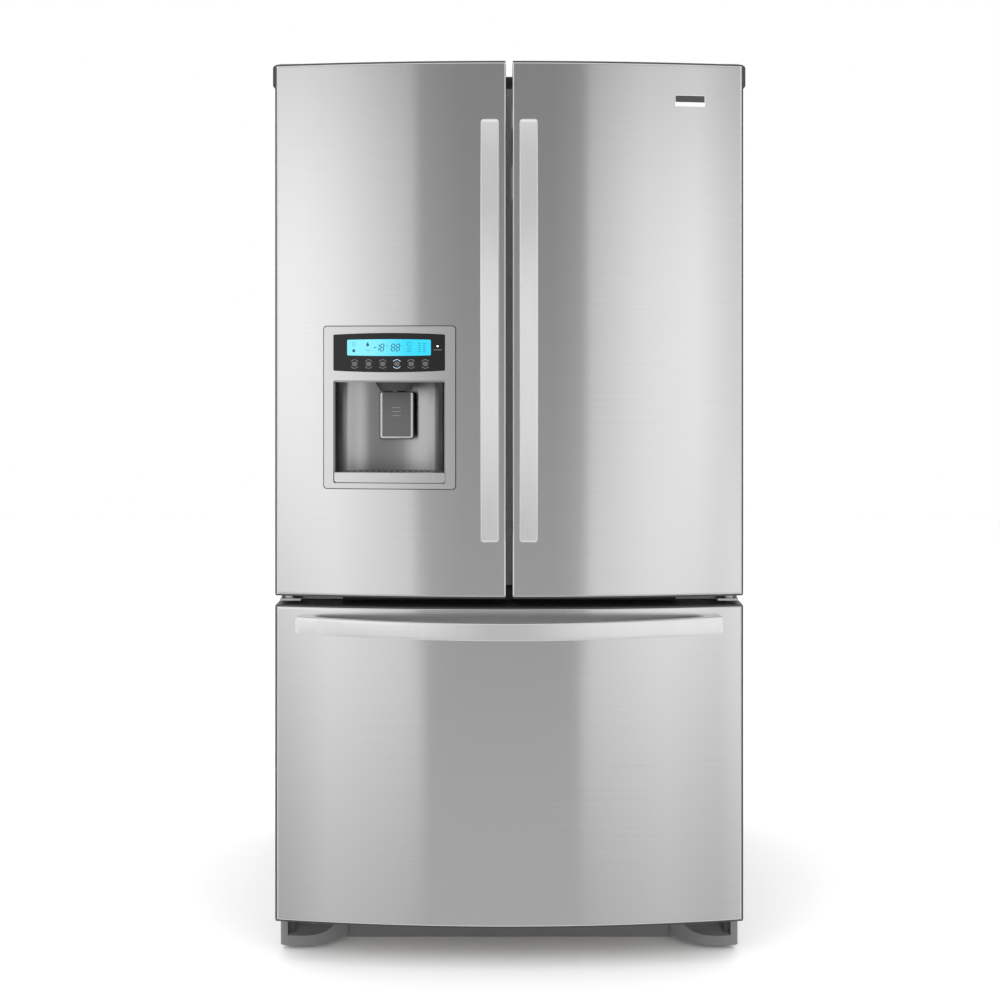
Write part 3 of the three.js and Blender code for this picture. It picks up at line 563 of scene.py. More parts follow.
def corner_cap(label, side):
    """The dark cap that stands a little proud of a door's top outer corner."""
    x0, x1 = HALF - 1 * MM, HALF + 5 * MM
    top, height, chamfer = LEFT_HIGH.z - 0.6 * MM, 44 * MM, 4 * MM
    outline = [
        (x0, top),
        (x1 - 3 * MM, top),
        (x1, top - chamfer),
        (x1, top - height + chamfer),
        (x1 - 3 * MM, top - height),
        (x0, top - height),
    ]
    back = CASE_FRONT - 17 * MM
    bm = prism([(side * x, z) for x, z in outline], "y", back - 40 * MM, back)
    finish_piece(f"{label}_corner_cap", bm, f"{label}_door", "dark_plastic", bevel=1.2 * MM)


for label, side in SIDES.items():
    corner_cap(label, side)

# ---------------------------------------------------------------- bowed handles

HANDLE_REACH = 60 * MM  # how far the middle of a bar stands off the surface
HANDLE_END = 18 * MM  # how far its ends do
HANDLE_THICK = 13 * MM
POST = 34 * MM  # length of the solid foot at each end


def bar_section(width, outer, inner, crown):
    """The bar's closed section across its width, softly crowned in front."""
    side, rear = 2.6 * MM, 2.5 * MM
    half = width / 2
    side = min(side, half * 0.9, (inner - outer) * 0.45)
    points = []
    for i in range(9):
        t = -1 + 2 * i / 8
        points.append((t * (half - side), outer - crown * (1 - t * t)))
    for turn, (cx, cy, r, a0, a1) in enumerate(
        [
            (half - side, outer + side, side, -90, 0),
            (half - rear, inner - rear, rear, 0, 90),
            (-half + rear, inner - rear, rear, 90, 180),
            (-half + side, outer + side, side, 180, 270),
        ]
    ):
        ring = arc(cx, cy, r, a0, a1, 5)
        points += ring[1:] if turn == 0 else ring[:-1] if turn == 3 else ring
    return points


def bowed_handle(name, body, half, width, surface, place, look=None):
    """A bar that bows away from the surface under it, on a post at each end.

    surface(s) is the row Y under the bar at s along it. place(s, u, y) gives the row point.
    """
    bow = HANDLE_REACH - HANDLE_END + surface(half) - surface(0)
    round_end = 6 * MM
    fillet = 16 * MM
    rings = []
    bm = bmesh.new()
    tips = [half - round_end * (1 - math.cos(math.radians(a))) for a in range(0, 91, 15)]
    feet = [half - POST - fillet * i / 6 for i in range(7)]
    evenly = {half * i / 48 for i in range(-48, 49)}
    stations = sorted(evenly | {sign * s for s in tips + feet for sign in (-1, 1)})
    for s in stations:
        outer = surface(half) - HANDLE_END - bow * (1 - (s / half) ** 2)
        inner = outer + HANDLE_THICK
        foot = surface(s) - 0.3 * MM
        from_end = half - abs(s)
        if from_end < POST:
            inner = foot
        elif from_end < POST + fillet:
            t = 1 - (from_end - POST) / fillet
            inner += (foot - inner) * (1 - math.sqrt(max(0.0, 1 - t * t)))
        trim = 0.0
        if from_end < round_end:
            trim = round_end - math.sqrt(max(0.0, round_end**2 - (round_end - from_end) ** 2))
        section = bar_section(width - 2 * trim, outer + trim * 0.7, inner, 0.25 * MM)
        rings.append([bm.verts.new(place(s, u, y)) for u, y in section])
    count = len(rings[0])
    across = bm.loops.layers.uv.new("across")
    for row, (low, high) in enumerate(zip(rings, rings[1:])):
        for k in range(count):
            n = (k + 1) % count
            face = bm.faces.new((low[k], low[n], high[n], high[k]))
            for loop, step in zip(face.loops, ((0, 0), (1, 0), (1, 1), (0, 1))):
                loop[across].uv = ((k + step[0]) / count, (row + step[1]) / len(rings))
    bm.faces.new(rings[0])
    bm.faces.new(rings[-1][::-1])
    finish_piece(name, bm, body, "handle_steel", [name], angle=45, look=look)


for name, body in {"left_door_handle": "left_door", "right_door_handle": "right_door"}.items():
    low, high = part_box(name)
    centre, width = (low + high) / 2, high.x - low.x
    bowed_handle(
        name,
        body,
        (high.z - low.z) / 2,
        width,
        lambda s: front(centre.x),
        lambda s, u, y: (centre.x + u, y, centre.z + s),
        UPRIGHT,
    )
BAR_LOW, BAR_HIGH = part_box("drawer_handle")
BAR_Z = (BAR_LOW.z + BAR_HIGH.z) / 2
bowed_handle(
    "drawer_handle",
    "freezer_drawer",
    BAR_HIGH.x,
    BAR_HIGH.z - BAR_LOW.z,
    front,
    lambda s, u, y: (s, y, BAR_Z + u),
)

# ---------------------------------------------------------------- dispenser

PANEL_LOW, PANEL_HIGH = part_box("control_panel")
WELL_LOW, WELL_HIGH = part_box("dispenser_well")
PADDLE_LOW, PADDLE_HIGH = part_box("dispenser_paddle")
SPOUT_LOW, SPOUT_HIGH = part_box("dispenser_spout")
SWELL = 3 * MM  # how far the panel's top and bottom edges bow out
PROUD = 3.3 * MM  # how far the frame stands off the door
LIP_TOP = WELL_LOW.z + 20 * MM
RECESS_TOP = WELL_HIGH.z


def barrel(x0, x1, z0, z1, swell, radius=0.0):
    """A window's outline whose top and bottom edges swell out in the middle."""
    steps = 16
    spans = [i / steps for i in range(steps + 1)]
    rise = [swell * (1 - (2 * t - 1) ** 2) for t in spans]
    low = [(x0 + radius + (x1 - x0 - 2 * radius) * t, z0 - r) for t, r in zip(spans, rise)]
    high = [(x1 - radius - (x1 - x0 - 2 * radius) * t, z1 + r) for t, r in zip(spans, rise)]
    if not radius:
        return low + high
    right = arc(x1 - radius, z0 + radius, radius, -90, 0, 4)[1:-1]
    right += arc(x1 - radius, z1 - radius, radius, 0, 90, 4)[1:-1]
    left = arc(x0 + radius, z1 - radius, radius, 90, 180, 4)[1:-1]
    left += arc(x0 + radius, z0 + radius, radius, 180, 270, 4)[1:-1]
    return low + right + high + left


def frame_outline(inset, radius, steps):
    """The dispenser frame's outline, moved inwards by inset."""
    x0, x1 = FRAME_LOW.x + inset, FRAME_HIGH.x - inset
    return rounded(x0, x1, FRAME_LOW.z + inset, FRAME_HIGH.z - inset, radius, steps)


def dispenser_frame():
    """The silver frame with its two windows, on a dark ring of painted shadow round its edge."""
    edge = 1.8 * MM
    rim = 4 * MM
    # A dark ring just in front of the skin, showing round the frame: painted shadow under the frame's proud
    # edge.
    shadow = carve(
        prism(frame_outline(0, 7 * MM, 8), "y", -1 * MM, -0.2 * MM),
        prism(frame_outline(rim, 3 * MM, 8), "y", -10 * MM, 10 * MM),
    )
    finish_piece("frame_shadow_ring", wrap(shadow, 32), "left_door", "dark_plastic")
    bm = prism(frame_outline(edge, 6 * MM, 8), "y", -PROUD, 9 * MM)
    window = barrel(
        PANEL_LOW.x - 0.3 * MM,
        PANEL_HIGH.x + 0.3 * MM,
        PANEL_LOW.z + SWELL - 0.5 * MM,
        PANEL_HIGH.z - SWELL + 0.5 * MM,
        SWELL,
        2.5 * MM,
    )
    spare = 0.3 * MM
    recess = rounded(WELL_LOW.x - spare, WELL_HIGH.x + spare, WELL_LOW.z - 0.5 * MM, RECESS_TOP, 3 * MM)
    shoulder = carve(
        prism(rounded(-1, 1, 0, 2, 0.01), "y", -0.4 * MM, 12 * MM),
        prism(frame_outline(6.5 * MM, 3 * MM, 5), "y", -1 * MM, 14 * MM),
    )
    cutters = [prism(window, "y", -0.02, 0.05), prism(recess, "y", -0.02, 0.05), shoulder]
    bm = wrap(carve(bm, *cutters), 32)
    finish_piece("dispenser_frame", bm, "left_door", "silver_trim", ["dispenser_frame"], bevel=1.1 * MM)


def control_panel():
    outline = barrel(
        PANEL_LOW.x, PANEL_HIGH.x, PANEL_LOW.z + SWELL, PANEL_HIGH.z - SWELL, SWELL, 2.2 * MM
    )
    bm = wrap(prism(outline, "y", -2 * MM, 6 * MM), 24)
    finish_piece("control_panel", bm, "left_door", "panel_black", ["control_panel"], bevel=0.5 * MM)


def on_panel(name, outlines, depth, thick, look):
    """Thin shapes on the control panel, as one piece."""
    bm = bmesh.new()
    for outline in outlines:
        prism(outline, "y", depth - thick, depth, bm)
    finish_piece(name, wrap(bm, 12), "left_door", "panel_black", look=look)


def outline_ring(x, z, half_x, half_z, radius, thick):
    """The strokes of a rounded box, as four bars and four corners."""
    pieces = []
    for side in (-1, 1):
        z_mid, x_mid = z + side * (half_z - thick / 2), x + side * (half_x - thick / 2)
        pieces.append(bar_shape(x, z_mid, half_x - radius, thick / 2))
        pieces.append(bar_shape(x_mid, z, thick / 2, half_z - radius))
    for sx, sz, start in ((1, 1, 0), (-1, 1, 90), (-1, -1, 180), (1, -1, 270)):
        cx, cz = x + sx * (half_x - radius), z + sz * (half_z - radius)
        far = arc(cx, cz, radius, start, start + 90, 4)
        near = arc(cx, cz, radius - thick, start + 90, start, 4)
        pieces.append(far + near)
    return pieces


def bar_shape(x, z, half_x, half_z):
    corners = ((-1, -1), (1, -1), (1, 1), (-1, 1))
    return [(x + sx * half_x, z + sz * half_z) for sx, sz in corners]


SEGMENTS = {
    "a": (0, 1, True),
    "b": (1, 0.5, False),
    "c": (1, -0.5, False),
    "d": (0, -1, True),
    "e": (-1, -0.5, False),
    "f": (-1, 0.5, False),
    "g": (0, 0, True),
}
DIGITS = {"1": "bc", "8": "abcdefg", "-": "g"}


def digit(character, x, z, half_x, half_z):
    """A seven-segment figure, leaning a little to the right."""
    thick = 0.8 * MM
    lean = 0.12
    shapes = []
    for key in DIGITS[character]:
        across, up, flat = SEGMENTS[key]
        cx, cz = x + across * half_x, z + up * half_z
        size = (half_x - thick * 0.9, thick) if flat else (thick, half_z / 2 - thick * 0.9)
        shape = bar_shape(cx, cz, *size)
        shapes.append([(a + (b - z) * lean, b) for a, b in shape])
    return shapes


def display():
    """The lit window with plain figures and symbols, the touch keys and the lamp dot."""
    face = -2 * MM
    x0, x1 = PANEL_LOW.x + 26.5 * MM, PANEL_LOW.x + 188.5 * MM
    z0, z1 = PANEL_HIGH.z - 42.5 * MM, PANEL_HIGH.z - 12.5 * MM
    z = (z0 + z1) / 2
    on_panel("display_window", [barrel(x0, x1, z0, z1, 1 * MM, 2.5 * MM)], face, 0.3 * MM, CYAN)
    ink = []
    for character, x in (("-", 54), ("1", 59), ("8", 68), ("8", 89), ("8", 98.5)):
        ink += digit(character, x0 + x * MM, z, 3 * MM, 6.6 * MM)
    for x in (78, 107):
        ink += outline_ring(x0 + x * MM, z + 3 * MM, 1 * MM, 1 * MM, 0.9 * MM, 0.4 * MM)
    ink += outline_ring(x0 + 13 * MM, z + 7 * MM, 3 * MM, 3 * MM, 0.8 * MM, 0.5 * MM)
    ink.append(bar_shape(x0 + 13 * MM, z - 6 * MM, 2.6 * MM, 2.6 * MM))
    ink += outline_ring(x0 + 120 * MM, z + 6.5 * MM, 4.2 * MM, 4.2 * MM, 4 * MM, 0.7 * MM)
    drop = arc(x0 + 40 * MM, z + 5 * MM, 2.8 * MM, -220, 40, 10) + [(x0 + 40 * MM, z + 11 * MM)]
    ink.append(drop)
    ink.append(bar_shape(x0 + 40 * MM, z - 5 * MM, 4.5 * MM, 0.4 * MM))
    for row in range(3):
        ink.append(bar_shape(x0 + 120 * MM, z - (1 + row * 3.5) * MM, 4.5 * MM, 0.4 * MM))
    for column in range(2):
        for row in range(5):
            ink.append(bar_shape(x0 + (140 + column * 9) * MM, z + (8 - row * 4) * MM, 2.4 * MM, 0.5 * MM))
    on_panel("display_figures", ink, face - 0.3 * MM, 0.1 * MM, SEGMENT)
    keys, lit = [], []
    for i in range(6):
        x, low = PANEL_LOW.x + (41 + i * 27.3) * MM, PANEL_LOW.z + 15.5 * MM
        for start in (35, 215):
            far = arc(x, low, 8.6 * MM, start, start + 110, 8)
            near = arc(x, low, 8.0 * MM, start + 110, start, 8)
            (lit if i == 3 else keys).append(far + near)
        for rise, reach in ((3.2, 4.2), (1.2, 5.6), (-1.2, 5), (-3.4, 3.6)):
            keys.append(bar_shape(x, low + rise * MM, reach * MM, 0.35 * MM))
    keys.append(bar_shape(PANEL_HIGH.x - 14 * MM, PANEL_HIGH.z - 32 * MM, 8 * MM, 0.35 * MM))
    on_panel("key_marks", keys, face, 0.1 * MM, LABEL)
    on_panel("lit_key", lit, face, 0.1 * MM, KEY_LIT)
    dot = [arc(PANEL_HIGH.x - 14.3 * MM, PANEL_HIGH.z - 25 * MM, 1.5 * MM, 0, 337.5, 15)]
    on_panel("lamp_dot", dot, face, 0.5 * MM, LED)


def well_plan(inset):
    """The recess in plan: straight at its mouth, and a smooth hollow behind."""
    middle = (WELL_LOW.x + WELL_HIGH.x) / 2
    half = (WELL_HIGH.x - WELL_LOW.x) / 2 - inset
    deep = WELL_HIGH.y - inset - 0.2 * MM

    def mouth(x):
        return front(x) + 6 * MM

    def straight(x):
        return front(x) + 24 * MM

    points = [(middle + half, mouth(middle + half)), (middle + half, straight(middle + half))]
    steps = 28
    for i in range(1, steps):
        t = math.pi * i / steps
        c, s = math.cos(t), math.sin(t)
        x = middle + half * math.copysign(abs(c) ** 0.8, c)
        points.append((x, straight(x) + (deep - straight(x)) * s**0.62))
    points += [(middle - half, straight(middle - half)), (middle - half, mouth(middle - half))]
    return points


def well():
    wall = 2 * MM
    bm = prism(well_plan(0), "z", WELL_LOW.z + 1 * MM, WELL_HIGH.z - 1 * MM)
    inside = well_plan(wall)
    inside[0] = (inside[0][0], inside[0][1] - 30 * MM)
    inside[-1] = (inside[-1][0], inside[-1][1] - 30 * MM)
    bm = carve(bm, prism(inside, "z", LIP_TOP - 8 * MM, RECESS_TOP - 3 * MM))
    finish_piece("dispenser_well", bm, "left_door", "well_plastic", ["dispenser_well"], angle=40)


def drip_tray():
    """The tray's front lip, and the slotted grid that a glass stands on."""
    x0, x1 = WELL_LOW.x + 0.4 * MM, WELL_HIGH.x - 0.4 * MM
    r = 6 * MM
    outline = [(x0, LIP_TOP), (x0, WELL_LOW.z + r)]
    outline += arc(x0 + r, WELL_LOW.z + r, r, 180, 270, 5)
    outline += arc(x1 - r, WELL_LOW.z + r, r, 270, 360, 5)
    outline += [(x1, WELL_LOW.z + r), (x1, LIP_TOP)]
    seen = []
    for p in outline:
        if not seen or (Vector(p) - Vector(seen[-1])).length > 1e-6:
            seen.append(p)
    bm = wrap(prism(seen, "y", -1.2 * MM, 10 * MM), 24)
    finish_piece("tray_lip", bm, "left_door", "silver_trim", bevel=1.4 * MM)
    top = LIP_TOP - 2 * MM
    plan = well_plan(3 * MM)
    bm = prism(plan, "z", top - 3 * MM, top)
    slots = []
    for i in range(15):
        x = WELL_LOW.x + (24 + i * 12) * MM
        reach = 52 * MM - abs(i - 7) * 3.2 * MM
        y = front(x) + 22 * MM
        slots.append(slab((x - 2.5 * MM, y, top - 9 * MM), (x + 2.5 * MM, y + reach, top + 5 * MM)))
    bm = carve(bm, *slots)
    finish_piece("tray_grid", bm, "left_door", "paddle_grey", angle=40)


def spout():
    x = (SPOUT_LOW.x + SPOUT_HIGH.x) / 2
    y = (SPOUT_LOW.y + SPOUT_HIGH.y) / 2
    top = SPOUT_HIGH.z
    wide = (SPOUT_HIGH.x - SPOUT_LOW.x) / 2
    narrow = wide * 0.77
    profile = [
        (wide, top),
        (wide, top - 2 * MM),
        (narrow + 1.5 * MM, top - 14 * MM),
        (narrow, top - 16.5 * MM),
        (narrow - 2 * MM, top - 17.5 * MM),
        (narrow - 4 * MM, top - 16 * MM),
        (narrow - 6 * MM, top - 8 * MM),
        (4 * MM, top - 7 * MM),
    ]
    bm = lathe(profile, (0, 0, 0), 48)
    squeeze = (SPOUT_HIGH.y - SPOUT_LOW.y) / (SPOUT_HIGH.x - SPOUT_LOW.x)
    for v in bm.verts:
        v.co.x += x
        v.co.y = v.co.y * squeeze + y
    finish_piece("dispenser_spout", bm, "left_door", "dark_plastic", ["dispenser_spout"], angle=45)
    nozzle = [
        (6.5 * MM, top - 5 * MM),
        (6.5 * MM, top - 15 * MM),
        (5 * MM, top - 21 * MM),
        (3.4 * MM, top - 21.5 * MM),
        (3.2 * MM, top - 14 * MM),
    ]
    bm = lathe(nozzle, (x, SPOUT_LOW.y + 12 * MM, 0), 24)
    finish_piece("water_nozzle", bm, "left_door", "dark_plastic", angle=45)


def paddle():
    low, high = PADDLE_LOW, PADDLE_HIGH
    rim = 4 * MM
    bm = prism(rounded(low.x, high.x, low.z, high.z, 4 * MM), "y", low.y, high.y)
    hole = rounded(low.x + rim, high.x - rim, low.z + rim, high.z + 9 * MM, 2 * MM)
    bm = carve(bm, prism(hole, "y", low.y - 5 * MM, high.y + 5 * MM))
    finish_piece("paddle_rim", bm, "dispenser_paddle", "paddle_grey", bevel=0.8 * MM, look=CHROME)
    shadow_outline = rounded(low.x - 2 * MM, high.x + 2 * MM, low.z - 2 * MM, high.z, 5 * MM)
    shadow = prism(shadow_outline, "y", high.y - 3 * MM, high.y)
    finish_piece("paddle_shadow", shadow, "dispenser_paddle", "dark_plastic", bevel=0.5 * MM)
    panel = prism(
        rounded(low.x + rim - 0.5 * MM, high.x - rim + 0.5 * MM, low.z + rim - 0.5 * MM, high.z, 2 * MM),
        "y",
        low.y + 1.4 * MM,
        high.y - 1 * MM,
    )
    name = "dispenser_paddle"
    finish_piece(name, panel, name, "paddle_grey", [name], bevel=0.6 * MM)
    bm = bmesh.new()
    middle = (low.x + high.x) / 2
    for i in range(3):
        z = low.z + (44 + 8 * i) * MM
        outline = rounded(middle - 8 * MM, middle + 8 * MM, z, z + 1.8 * MM, 0.8 * MM, 3)
        prism(outline, "y", low.y + 0.6 * MM, low.y + 2 * MM, bm)
    finish_piece("paddle_grips", bm, "dispenser_paddle", "paddle_grey", angle=50, look=GRIP)


dispenser_frame()
control_panel()
display()
well()
drip_tray()
spout()
paddle()


def badge():
    """A plain two-tone plate where the name would be."""
    x, z = 348.5 * MM, 1666.5 * MM
    half_x, half_z = 29.5 * MM, 11.2 * MM
    face = rounded(x - half_x, x + half_x, z - half_z, z + half_z, 1 * MM, 3)
    bm = wrap(prism(face, "y", -1.6 * MM, -0.05 * MM), 8)
    finish_piece("badge_plate", bm, "right_door", "silver_trim", bevel=0.4 * MM, look=CHROME)
    x0, x1 = x - half_x + 1.2 * MM, x + half_x - 1.2 * MM
    for name, slot, z0, z1 in (
        ("badge_field", "dark_plastic", z - 2.5 * MM, z + half_z - 1.5 * MM),
        ("badge_strip", "white_plastic", z - half_z + 1.2 * MM, z - 4 * MM),
    ):
        bm = wrap(prism(rounded(x0, x1, z0, z1, 0.6 * MM, 3), "y", -1.9 * MM, -1.4 * MM), 8)
        finish_piece(name, bm, "right_door", slot)


badge()

# ---------------------------------------------------------------- insides of the doors


def dyke(name, body, x0, x1, z0, z1):
    """The moulded rim round the inside of a door."""
    width = 14 * MM
    depth = CASE_FRONT + 30 * MM
    r = 4.5 * MM
    base = DOOR_BACK - 2 * MM
    profile = [(0, base), (0, DOOR_BACK + 2 * MM)]
    turns = (0, 0.5, 1.05, math.pi / 2, math.pi / 2, 2.1, 2.65, math.pi)
    for i, t in enumerate(turns):
        heart = -r - 1 * MM if i < 4 else -width + r
        profile.append((heart + r * math.cos(t), depth - r + r * math.sin(t)))
    profile += [(-width, base)]
    outline = rounded(x0, x1, z0, z1, 22 * MM, 8)
    finish_piece(name, loop_sweep(outline, profile), body, "white_plastic", angle=50)


def inner_panel(name, body, x0, x1, z0, z1, pockets=()):
    """A door's inner panel and foam, up to just behind the skin."""
    path = plan_path(x0, x1)
    inset = SHEET + 0.2 * MM
    outline = [tuple(p - n * inset) for p, n in path]
    bm = prism(outline, "z", z0 + 1.5 * MM, z1 - 1.5 * MM)
    if pockets:
        bm = carve(bm, *pockets)
    finish_piece(name, bm, body, "white_plastic", [name], angle=40)


def gasket(name, body):
    """A magnetic seal with a bellows between its foot and its magnet strip."""
    low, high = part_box(name)
    back, face = low.y, high.y
    width = 14 * MM
    depth = face - back
    profile = [
        (0, back),
        (-1 * MM, back + depth * 0.2),
        (-3.5 * MM, back + depth * 0.36),
        (-1 * MM, back + depth * 0.52),
        (0, back + depth * 0.62),
        (-0.6 * MM, back + depth * 0.95),
        (-2 * MM, face),
        (-width + 2 * MM, face),
        (-width + 0.6 * MM, back + depth * 0.95),
        (-width, back + depth * 0.62),
        (-width + 1 * MM, back + depth * 0.52),
        (-width + 3.5 * MM, back + depth * 0.36),
        (-width + 1 * MM, back + depth * 0.2),
        (-width, back),
    ]
    outline = rounded(low.x, high.x, low.z, high.z, 6 * MM, 6)
    finish_piece(name, loop_sweep(outline, profile), body, "seal_rubber", [name], angle=60)


pocket = slab(
    (WELL_LOW.x - 2 * MM, APEX - 0.02, WELL_LOW.z - 2 * MM),
    (WELL_HIGH.x + 2 * MM, WELL_HIGH.y + 3 * MM, PANEL_HIGH.z + 4 * MM),
)
inner_panel(
    "left_door_liner", "left_door", LEFT_LOW.x, LEFT_HIGH.x, LEFT_LOW.z, LEFT_HIGH.z, [pocket]
)
inner_panel("right_door_liner", "right_door", -LEFT_HIGH.x, -LEFT_LOW.x, LEFT_LOW.z, LEFT_HIGH.z)
dyke("left_door_dyke", "left_door", -395 * MM, -62 * MM, 757 * MM, 1683 * MM)
dyke("right_door_dyke", "right_door", 30 * MM, 395 * MM, 757 * MM, 1683 * MM)
for name, body in {
    "left_door_gasket": "left_door",
    "right_door_gasket": "right_door",
    "drawer_gasket": "freezer_drawer",
}.items():
    gasket(name, body)


def dispenser_housing():
    """The hump behind the dispenser's recess, on the inside of the left door."""
    hump = slab(
        (-390 * MM, DOOR_BACK - 1 * MM, 890 * MM),
        (-67 * MM, CASE_FRONT + 25 * MM, 1190 * MM),
        14 * MM,
        "y",
    )
    hollow = slab(
        (WELL_LOW.x - 2 * MM, DOOR_BACK - 20 * MM, WELL_LOW.z - 2 * MM),
        (WELL_HIGH.x + 2 * MM, WELL_HIGH.y + 3 * MM, WELL_HIGH.z + 8 * MM),
    )
    bm = carve(hump, hollow)
    finish_piece("dispenser_housing", bm, "left_door", "white_plastic", bevel=5 * MM)


dispenser_housing()

# ---------------------------------------------------------------- bins, drawers and trays


def tub_piece(name, body, wall, radius, round_back=True):
    """An open-topped bin, with round corners all round or only at the back."""
    low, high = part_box(name)

    def plan(inset):
        k = max(radius - inset, 1 * MM)
        x0, x1, y0, y1 = low.x + inset, high.x - inset, low.y + inset, high.y - inset
        if round_back:
            return [
                (x0, y0),
                (x1, y0),
                *arc(x1 - k, y1 - k, k, 0, 90, 8),
                *arc(x0 + k, y1 - k, k, 90, 180, 8),
            ]
        return rounded(x0, x1, y0, y1, k)

    hollow = prism(plan(wall), "z", low.z + wall, high.z + 5 * MM)
    bm = carve(prism(plan(0), "z", low.z, high.z), hollow)
    finish_piece(name, bm, body, NODE_SLOT[name], [name], bevel=0.9 * MM, segments=2)


def bin_band(name, body, height):
    """The white trim along a bin's open side."""
    low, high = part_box(name)
    r = 26 * MM
    out = 1.2 * MM
    plan = [
        (low.x - out, low.y + 30 * MM),
        *arc(low.x + r - out, high.y - r + out, r, 180, 90, 8),
        *arc(high.x - r + out, high.y - r + out, r, 90, 0, 8),
        (high.x + out, low.y + 30 * MM),
    ]
    inner = [
        (high.x + 0.1 * MM, low.y + 30 * MM),
        *arc(high.x - r + 0.1 * MM, high.y - r + 0.1 * MM, r, 0, 90, 8),
        *arc(low.x + r - 0.1 * MM, high.y - r + 0.1 * MM, r, 90, 180, 8),
        (low.x - 0.1 * MM, low.y + 30 * MM),
    ]
    bm = prism(plan + inner, "z", high.z - height, high.z + 1.5 * MM)
    finish_piece(f"{name}_band", bm, body, "white_plastic", bevel=0.5 * MM, segments=2, angle=50)


for name, body in {
    "left_door_bin": "left_door",
    "right_middle_bin": "right_door",
    "right_lower_bin": "right_door",
}.items():
    tub_piece(name, body, 3 * MM, 25 * MM)
    bin_band(name, body, 22 * MM)


def crisper_piece(name):
    """A clear drawer with a white front rail to pull it by."""
    low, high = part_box(name)
    face = low.y + 12 * MM
    wall = 3 * MM
    hollow = slab(
        (low.x + wall, face + wall, low.z + wall),
        (high.x - wall, high.y - wall, high.z + wall),
        7 * MM,
    )
    bm = carve(slab((low.x, face, low.z), (high.x, high.y, high.z), 10 * MM), hollow)
    finish_piece(name, bm, name, "clear_plastic", [name], bevel=0.8 * MM, segments=2)
    rail = slab(
        (low.x - 0.5 * MM, face - 4 * MM, high.z - 34 * MM),
        (high.x + 0.5 * MM, face + 0.5 * MM, high.z),
        3 * MM,
        "x",
    )
    finish_piece(f"{name}_rail", rail, name, "white_plastic", bevel=1.2 * MM)
    pull = slab(
        (low.x + 95 * MM, low.y, high.z - 30 * MM),
        (high.x - 95 * MM, face - 2 * MM, high.z - 21 * MM),
        2.5 * MM,
        "x",
    )
    finish_piece(f"{name}_pull", pull, name, "white_plastic", bevel=1.5 * MM)


for name in ("left_crisper", "right_crisper"):
    crisper_piece(name)
tub_piece("freezer_tray", "freezer_tray", 3 * MM, 14 * MM, round_back=False)


def freezer_basket():
    """The freezer basket: moulded walls with rows of slots."""
    low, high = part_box("freezer_basket")
    wall = 3 * MM
    x0, x1 = low.x + 11 * MM, high.x - 11 * MM
    bm = slab((x0, low.y, low.z), (x1, high.y, high.z), 20 * MM)
    bm = carve(
        bm,
        slab((x0 + wall, low.y + wall, low.z + wall), (x1 - wall, high.y - wall, high.z + wall), 17 * MM),
    )
    slots = bmesh.new()
    columns = 12
    for i in range(columns):
        x = x0 + (x1 - x0) * (i + 0.5) / columns
        for row in range(3):
            z = low.z + (45 + row * 62) * MM
            outline = rounded(x - 17 * MM, x + 17 * MM, z, z + 34 * MM, 6 * MM, 4)
            prism(outline, "y", low.y - 0.02, high.y + 0.02, slots)
    bm = carve(bm, slots)
    finish_piece("freezer_basket", bm, "freezer_drawer", "white_plastic", ["freezer_basket"], angle=40)
    for label, side in SIDES.items():
        a, b = sorted((side * (x1 - 2 * MM), side * high.x))
        rim = slab((a, low.y, high.z - 5 * MM), (b, high.y, high.z), 2 * MM, "y")
        finish_piece(f"{label}_basket_rim", rim, "freezer_drawer", "white_plastic", bevel=0.8 * MM)


freezer_basket()

# ---------------------------------------------------------------- ice compartment, dairy box


def ice_compartment():
    """The insulated ice housing: a body, a door with a seam round it, and a latch."""
    low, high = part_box("ice_compartment")
    seam = high.y - 26 * MM
    bm = slab(low, (high.x, seam - 1.5 * MM, high.z), 14 * MM, "y")
    finish_piece("ice_compartment", bm, "left_door", "white_plastic", ["ice_compartment"], bevel=4 * MM)
    bm = slab(
        (low.x + 4 * MM, seam - 3 * MM, low.z + 4 * MM),
        (high.x - 4 * MM, seam + 1 * MM, high.z - 4 * MM),
        12 * MM,
        "y",
    )
    finish_piece("ice_door_seal", bm, "left_door", "seal_rubber")
    bm = slab((low.x, seam, low.z), high, 14 * MM, "y")
    finish_piece("ice_door", bm, "left_door", "white_plastic", bevel=5 * MM)
    z = (low.z + high.z) / 2
    bm = slab(
        (high.x - 34 * MM, high.y - 3 * MM, z - 32 * MM),
        (high.x - 14 * MM, high.y - 0.2 * MM, z + 32 * MM),
        8 * MM,
        "y",
    )
    finish_piece("ice_latch", bm, "left_door", "grey_plastic", bevel=1.2 * MM)


def dairy():
    """The dairy box, open at the side that its lid closes."""
    low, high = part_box("dairy_box")
    wall = 3 * MM
    hollow = slab(
        (low.x + wall, low.y + 5 * MM, low.z + wall),
        (high.x - wall, high.y + 0.02, high.z - wall),
        6 * MM,
        "y",
    )
    bm = carve(slab(low, high, 8 * MM, "y"), hollow)
    finish_piece("dairy_box", bm, "right_door", "white_plastic", ["dairy_box"], bevel=0.9 * MM, segments=2)


ice_compartment()
dairy()

# ---------------------------------------------------------------- CAD nodes that keep their shape

